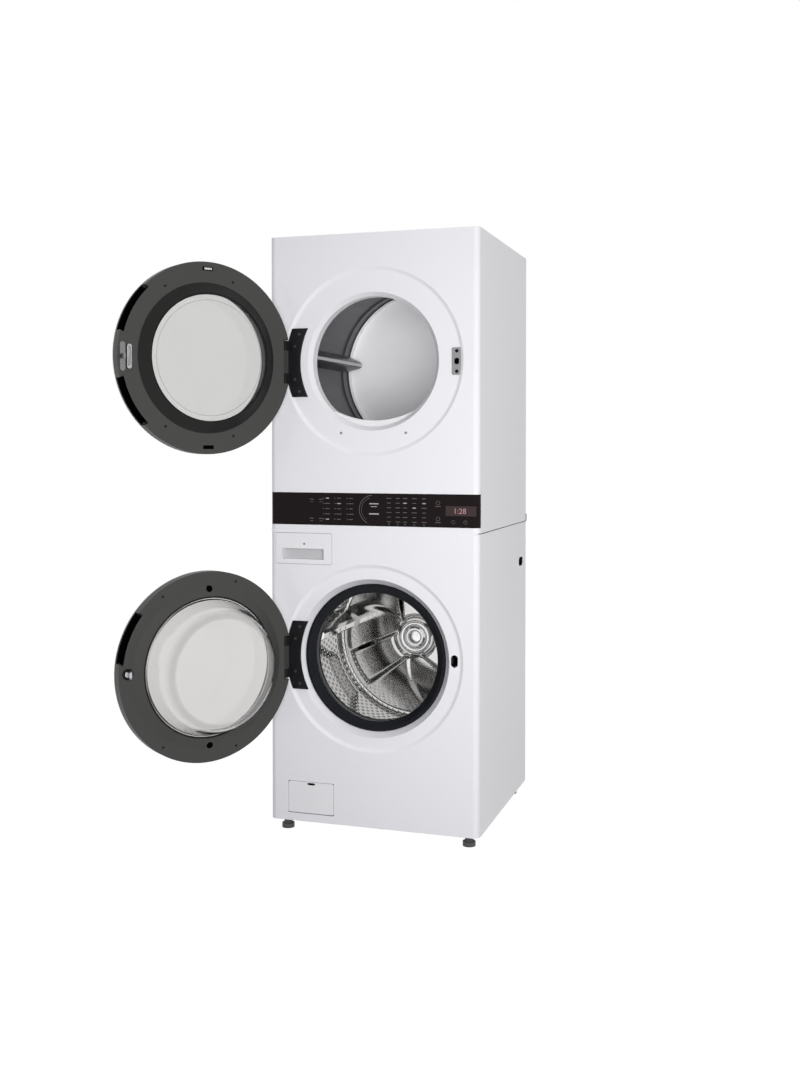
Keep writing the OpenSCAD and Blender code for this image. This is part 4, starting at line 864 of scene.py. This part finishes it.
class LAUNDRY_OT_door_trim(LaundryOperator, bpy.types.Operator):
    """Adds the grips, bevels, seals, screws, buffers and strikes of both doors, with painted shade in the grips
    and painted highlights on the dryer door's buffer and strike pad
    """
    bl_idname = "laundry.door_trim"
    bl_label = "Door trim"

    def execute(self, context):
        y = DOOR_BACK
        grip_r, grip_inner = 0.283, 0.2744
        grip_sweep = 2 * 0.0774 / grip_r
        buffer_r, slab_r = 0.2350, 0.2660
        for body, z, window, rise, grips in (
                ("washer_door", WASHER_Z, 0.209, 0.008, (67,)),
                ("dryer_door", DRYER_Z, 0.189, 0.017, (60, 119))):
            edge = y + rise

            def lining(shell):
                # near-black shells without shine in the finger grips of the rim: black plastic, darkened further
                # as painted shade of the recesses
                for a in grips:
                    turned(shell, [(grip_r + 0.0025, y - 0.0254), (grip_inner + 0.0015, y - 0.0256),
                                   (grip_inner, y - 0.0240), (grip_inner, y - 0.0006)], z,
                           start=radians(a) - grip_sweep / 2, sweep=grip_sweep, steps=32)

            def bevel(shell):
                outer = window + 0.033
                turned(shell, flow([(outer + 0.0030, y + 0.0001), (outer + 0.0002, y + 0.0005),
                                    (outer - 0.0060, y + 0.0016 + rise * 0.16),
                                    (window + 0.0100, edge - rise * 0.14 + 0.0006),
                                    (window + 0.0060, edge + 0.0007),
                                    (window + 0.0022, edge + 0.0006)], 4), z)

            def seal(shell):
                turned(shell, flow([(window + 0.0042, edge + 0.0003),
                                    (window + 0.0020, edge + 0.0016),
                                    (window - 0.0008, edge + 0.0008),
                                    (window - 0.0012, edge - 0.0015),
                                    (window - 0.0008, edge - 0.0024)], 3), z)

            def screws(shell):
                for a in (34, 146, 200, 340):
                    screw(shell, on_rim(window + 0.058, a, y, z), (0, 1, 0), 0.0036)

            def buffers(shell):
                for s in (-1, 1):
                    if body == "washer_door":
                        rod(shell, (0, y - 0.0010, z + s * buffer_r),
                            (0, y + 0.0062, z + s * buffer_r), 0.0098, 28, 0.0014)
                    else:
                        slab(shell, (-0.0170, y - 0.0004, z + s * slab_r - 0.0055),
                             (0.0170, y + 0.0026, z + s * slab_r + 0.0055), 0.0012)

            new_piece(body + "_grip_lining", lining, body, "pit_black", sharp=60)
            new_piece(body + "_bevel", bevel, body,
                      "bevel_dark" if body == "dryer_door" else "door_dark", sharp=60)
            new_piece(body + "_glass_seal", seal, body, "black_trim")
            new_piece(body + "_screws", screws, body, "black_trim")
            new_piece(body + "_buffers", buffers, body, "pit_black")

        lock = LOCK_X - 0.005, LOCK_Z
        pad_x = 0.252

        def collar(shell):
            x, z = lock
            turned(shell, flow([(0.0168, y + 0.0012), (0.0165, y + 0.0024), (0.0130, y + 0.0030),
                                (0.0095, y + 0.0022)], 3), z, x, steps=40)

        def cap(shell):
            x, z = lock
            slab(shell, (x - 0.0046, y + 0.0176, z - 0.0080), (x + 0.0046, y + 0.0224, z + 0.0080),
                 0.0020, 3)
            rod(shell, (x, y + 0.0004, z), (x, y + 0.0016, z), 0.0094, 28, 0.0006)

        def pad(shell):
            # long pad round the dryer's striker
            slab(shell, (pad_x - 0.0050, y + 0.0040, LATCH_Z - 0.0330),
                 (pad_x + 0.0050, y + 0.0056, LATCH_Z + 0.0330), 0.0008)

        def pad_rim(shell):
            # raised line round the pad, coloured light as a painted highlight
            sleeve(shell, [[(pad_x + across * k, y + lift, LATCH_Z + along * (1 + k) / 2)
                            for along, across in stadium(0.0346, 0.0066, 40)]
                           for k, lift in ((1.0, 0.0048), (1.0, 0.0062),
                                           (0.78, 0.0062), (0.78, 0.0048))])

        # light cap on the top buffer's face: a painted highlight
        def buffer_highlight(shell):
            slab(shell, (-0.0125, y + 0.0022, DRYER_Z + slab_r - 0.0030),
                 (0.0125, y + 0.0032, DRYER_Z + slab_r + 0.0030), 0.0004)

        new_piece("washer_strike_collar", collar, "washer_door", "black_trim")
        new_piece("washer_strike_cap", cap, "washer_door", "soft_grey")
        new_piece("dryer_strike_pad", pad, "dryer_door", "grey_trim")
        new_piece("dryer_strike_pad_rim", pad_rim, "dryer_door", "blade_light")
        new_piece("dryer_door_stud", buffer_highlight, "dryer_door", "blade_light")
        return {"FINISHED"}


class LAUNDRY_OT_washer_bowl(LaundryOperator, bpy.types.Operator):
    """Blows the washer door's glass bowl and lays its outer pane"""
    bl_idname = "laundry.washer_bowl"
    bl_label = "Washer door glass"

    def execute(self, context):
        y = DOOR_BACK + 0.0055

        def bowl(shell):
            inside = [(0.2010, y - 0.0048), (0.1975, y + 0.010), (0.1905, y + 0.036),
                      (0.1810, y + 0.066), (0.1720, y + 0.0815), (0.1580, y + 0.0865),
                      (0.1300, y + 0.0872), (0.0600, y + 0.0876), (0.0002, y + 0.0878)]
            outside = [(0.0002, y + 0.0918), (0.0600, y + 0.0916), (0.1300, y + 0.0912),
                       (0.1600, y + 0.0905), (0.1755, y + 0.0845), (0.1858, y + 0.067),
                       (0.1953, y + 0.037), (0.2022, y + 0.011), (0.2060, y + 0.0038)]
            turned(shell, [Vector((0.2122, y - 0.0048))] + flow(inside, 5) + flow(outside, 5)
                   + [Vector((0.2078, y + 0.0008)), Vector((0.2078, y - 0.0001)),
                      Vector((0.2122, y - 0.0001))], WASHER_Z, closed=True)

        def pane(shell):
            front = DOOR_FRONT - 0.005
            turned(shell, [(0.0002, front), (0.2245, front), (0.2248, front + 0.0004),
                           (0.2248, front + 0.0038), (0.0002, front + 0.0038)], WASHER_Z)

        made = new_piece("washer_glass_bowl", bowl, "washer_door", "bowl_glass")
        new_piece("washer_outer_pane", pane, "washer_door", "bowl_glass")
        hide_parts("washer_door_bowl")
        return {"FINISHED"}


class LAUNDRY_OT_front_trim(LaundryOperator, bpy.types.Operator):
    """Adds the dish rims, small screws, painted shade in the catch throats and the drawer's pull hollow, and
    drawer trim on the front
    """
    bl_idname = "laundry.front_trim"
    bl_label = "Front trim"

    def execute(self, context):
        def ring_screws(shell):
            for x in (-0.1035, 0.109):
                screw(shell, (x, DISH_Y, DRYER_Z - 0.222), r=0.0042)

        def rims(shell):
            # soft shoulder of the pressed dish round each door
            for z in (WASHER_Z, DRYER_Z):
                turned(shell, flow([(0.3060, FRONT_Y - 0.00005), (0.2960, FRONT_Y - 0.0002),
                                    (0.2925, FRONT_Y + 0.0003), (0.2880, FRONT_Y + 0.0030),
                                    (0.2835, FRONT_Y + 0.0053), (0.2805, FRONT_Y + 0.0058),
                                    (0.2788, FRONT_Y + 0.00595)], 4), z, steps=216)

        def latch(shell):
            for s in (-1, 1):
                screw(shell, (LATCH_X, DISH_Y - 0.0012, LATCH_Z + s * 0.031), r=0.0055)

        def throat_shade(shell):
            # near-black sheets in the throats of the two catches: painted shade in their holes
            x, z = LATCH_X, LATCH_Z
            slab(shell, (x - 0.0072, DISH_Y + 0.0090, z - 0.0102),
                 (x + 0.0072, DISH_Y + 0.0120, z + 0.0102))
            for s in (-1, 1):
                slab(shell, (x + s * 0.0069 - 0.0004, DISH_Y - 0.0020, z - 0.0080),
                     (x + s * 0.0069 + 0.0004, DISH_Y + 0.0095, z + 0.0080))
            slab(shell, (LOCK_X - 0.0095, DISH_Y + 0.0175, LOCK_Z - 0.017),
                 (LOCK_X + 0.0095, DISH_Y + 0.0215, LOCK_Z + 0.017), 0.0008)

        new_piece("dish_rims", rims, "cabinet", "white_enamel", sharp=60)
        new_piece("dish_screws", ring_screws, "cabinet", "grey_trim")
        new_piece("latch_screws", latch, "cabinet", "black_trim")
        new_piece("catch_throats", throat_shade, "cabinet", "pit_black")

        def pull(shell):
            # grey sheet at the back of the hollow that the fingers pull: painted shade in the hollow
            x, z = DRAWER_X - 0.003, DRAWER_LOW.z + 0.0315
            slab(shell, (x - 0.0705, FRONT_Y + 0.0164, z - 0.0165),
                 (x + 0.0705, FRONT_Y + 0.0172, z + 0.0165))

        def dot(shell):
            x, z = DRAWER_X + 0.002, DRAWER_LOW.z + 0.063
            rod(shell, (x, FRONT_Y + 0.0002, z), (x, FRONT_Y - 0.0006, z), 0.0035, 24, 0.0003)

        new_piece("drawer_pull_lining", pull, "detergent_drawer", "soft_grey")
        new_piece("drawer_mark", dot, "detergent_drawer", "grey_trim")
        return {"FINISHED"}


class LAUNDRY_OT_cabinet_trim(LaundryOperator, bpy.types.Operator):
    """Adds the back's screws, the hand cups and the seam between the cabinets"""
    bl_idname = "laundry.cabinet_trim"
    bl_label = "Cabinet trim"

    def execute(self, context):
        def back_screws(shell):
            for z in (0.080, 0.300, 0.620, 0.900, 1.000, 1.240, 1.560, 1.860):
                for s in (-1, 1):
                    screw(shell, (s * (HALF_W - 0.012), BACK_Y, z), (0, 1, 0))

        def cups(shell):
            # open cups behind the hand holes
            wall = HALF_W - 0.0012
            mouth_to_end = ((wall, 1.0), (wall - 0.020, 0.97), (wall - 0.028, 0.85))
            for s in (-1, 1):
                end = sleeve(shell, [[(s * x, HAND_Y + k * along, HAND_Z + k * across)
                                      for along, across in stadium(0.0345, 0.0165, 32)]
                                     for x, k in mouth_to_end])
                shell.faces.new(end)

        def seam(shell):
            # strip that fills the joint between the two cabinets at the front
            slab(shell, (-HALF_W + 0.004, FRONT_Y + 0.0006, SEAM_Z - 0.0030),
                 (HALF_W - 0.004, FRONT_Y + 0.0040, SEAM_Z + 0.0030))

        new_piece("front_seam", seam, "cabinet", "white_enamel")
        new_piece("back_wall_screws", back_screws, "cabinet", "screw_steel")
        new_piece("hand_cups", cups, "cabinet", "black_trim")
        return {"FINISHED"}


class LAUNDRY_OT_studio(LaundryOperator, bpy.types.Operator):
    """Sets the floor, the lamps, the sky and the camera"""
    bl_idname = "laundry.studio"
    bl_label = "Studio"

    def execute(self, context):
        scene = context.scene
        studio = scene.laundry_studio
        scene.view_settings.view_transform = "Standard"
        shell = bmesh.new()
        bmesh.ops.create_grid(shell, x_segments=1, y_segments=1, size=14)
        mesh = bpy.data.meshes.new("studio_floor")
        shell.to_mesh(mesh)
        shell.free()
        floor = bpy.data.objects.new("studio_floor", mesh)
        scene.collection.objects.link(floor)
        look = Look("studio_floor", roughness=0.9, specular_ior_level=0.0)
        rays = look.node("LightPath", {}, {}).socket.node.outputs
        seen = (Signal(look, rays["Is Camera Ray"]) + Signal(look, rays["Is Glossy Ray"])
                + Signal(look, rays["Is Transmission Ray"])).calc("MINIMUM", 1.0)
        dust = look.noise(40, 3)
        look.set(base_color=look.mixed(dust, (0.21, 0.21, 0.21), (0.23, 0.23, 0.23)))
        px, py, _ = look.axes()
        far = (px * px + py * py).calc("SQRT").step(1.2, 4.0)
        glow = look.node("Emission", {}, {"Color": (1, 1, 1, 1),
                                          "Strength": seen * (far * 0.07 + 0.93)})
        both = look.node("AddShader", {}, {0: Signal(look, look.skin.outputs[0]), 1: glow})
        look.feed(look.tree.nodes["Material Output"].inputs[0], both)
        mesh.materials.append(look.material)

        world = bpy.data.worlds.new("studio_sky")
        scene.world = world
        world.use_nodes = True
        tree = world.node_tree
        tree.nodes.clear()
        path = tree.nodes.new("ShaderNodeLightPath")
        seen = path.outputs["Is Camera Ray"]
        for kind in ("Is Transmission Ray", "Is Glossy Ray"):
            either = tree.nodes.new("ShaderNodeMath")
            either.operation = "MAXIMUM"
            tree.links.new(seen, either.inputs[0])
            tree.links.new(path.outputs[kind], either.inputs[1])
            seen = either.outputs[0]
        dim = tree.nodes.new("ShaderNodeBackground")
        dim.inputs["Color"].default_value = (0.97, 0.98, 1.0, 1)
        dim.inputs["Strength"].default_value = studio.ambient
        white = tree.nodes.new("ShaderNodeBackground")
        white.inputs["Color"].default_value = (1, 1, 1, 1)
        mix = tree.nodes.new("ShaderNodeMixShader")
        out = tree.nodes.new("ShaderNodeOutputWorld")
        tree.links.new(seen, mix.inputs[0])
        tree.links.new(dim.outputs[0], mix.inputs[1])
        tree.links.new(white.outputs[0], mix.inputs[2])
        tree.links.new(mix.outputs[0], out.inputs["Surface"])

        self.lamp("key_lamp", (1.2, -2.9, 1.15), (0, 0, 1.10), 1.5, 1.4, studio.key)
        self.lamp("top_lamp", (0.3, -1.9, 3.7), (0, -0.3, 1.0), 2.6, 1.6, studio.fill * 0.35)
        self.lamp("fill_lamp", (3.6, -0.6, 1.9), (0.2, 0, 0.95), 2.2, 2.4, studio.fill)
        self.lamp("left_lamp", (-3.6, 0.2, 1.7), (-0.2, 0, 0.95), 2.2, 2.4, studio.fill * 0.9)
        self.lamp("back_lamp", (0.8, 3.4, 2.6), (0, 0, 1.1), 2.2, 2.0, studio.fill * 1.4)
        self.lamp("dryer_lamp", (0.05, FRONT_Y + 0.16, DRYER_Z + 0.20),
                  (-0.06, BACK_Y - 0.12, DRYER_Z + 0.02), 0.16, 0.10, studio.fill * 0.020)

        camera = bpy.data.objects.new("camera", bpy.data.cameras.new("camera"))
        scene.collection.objects.link(camera)
        scene.camera = camera
        camera.data.lens = studio.lens
        camera.data.shift_y = -0.062
        camera.data.clip_end = 60
        camera.location = (1.2248, -3.8633, 1.2344)
        camera.rotation_euler = (pi / 2 - studio.tilt, 0, studio.turn)
        return {"FINISHED"}

    def lamp(self, name, place, target, wide, high, power):
        data = bpy.data.lights.new(name, "AREA")
        data.shape, data.size, data.size_y, data.energy = "RECTANGLE", wide, high, power
        lamp = bpy.data.objects.new(name, data)
        lamp.location = place
        lamp.rotation_euler = (Vector(target) - Vector(place)).to_track_quat("-Z", "Y").to_euler()
        bpy.context.scene.collection.objects.link(lamp)
        lamp.visible_glossy = False
        lamp.visible_transmission = False


class LAUNDRY_PT_panel(bpy.types.Panel):
    """Lists the laundry tower's tools"""
    bl_label = "Laundry Tower"
    bl_idname = "LAUNDRY_PT_panel"
    bl_space_type = "VIEW_3D"
    bl_region_type = "UI"
    bl_category = "Laundry"

    def draw(self, context):
        for group in ("laundry_colours", "laundry_form", "laundry_studio"):
            box = self.layout.box()
            settings = getattr(context.scene, group)
            for key in settings.bl_rna.properties.keys():
                if key not in ("rna_type", "name"):
                    box.prop(settings, key)
        for tool in OPERATORS:
            self.layout.operator(tool.bl_idname)


OPERATORS = (LAUNDRY_OT_finish_solids, LAUNDRY_OT_panel_marks, LAUNDRY_OT_gasket,
             LAUNDRY_OT_washer_drum, LAUNDRY_OT_dryer_drum, LAUNDRY_OT_hinges, LAUNDRY_OT_door_trim,
             LAUNDRY_OT_washer_bowl, LAUNDRY_OT_front_trim, LAUNDRY_OT_cabinet_trim,
             LAUNDRY_OT_studio)
GROUPS = {"laundry_colours": LaundryColours, "laundry_form": LaundryForm,
          "laundry_studio": LaundryStudio}


def register():
    for made in (*GROUPS.values(), *OPERATORS, LAUNDRY_PT_panel):
        bpy.utils.register_class(made)
    for key, group in GROUPS.items():
        setattr(bpy.types.Scene, key, PointerProperty(type=group))


def unregister():
    for key in GROUPS:
        delattr(bpy.types.Scene, key)
    for made in (LAUNDRY_PT_panel, *reversed(OPERATORS), *reversed(GROUPS.values())):
        bpy.utils.unregister_class(made)


def main():
    register()
    for tool in OPERATORS:
        getattr(bpy.ops.laundry, tool.bl_idname.split(".")[1])()


if __name__ == "__main__":
    main()
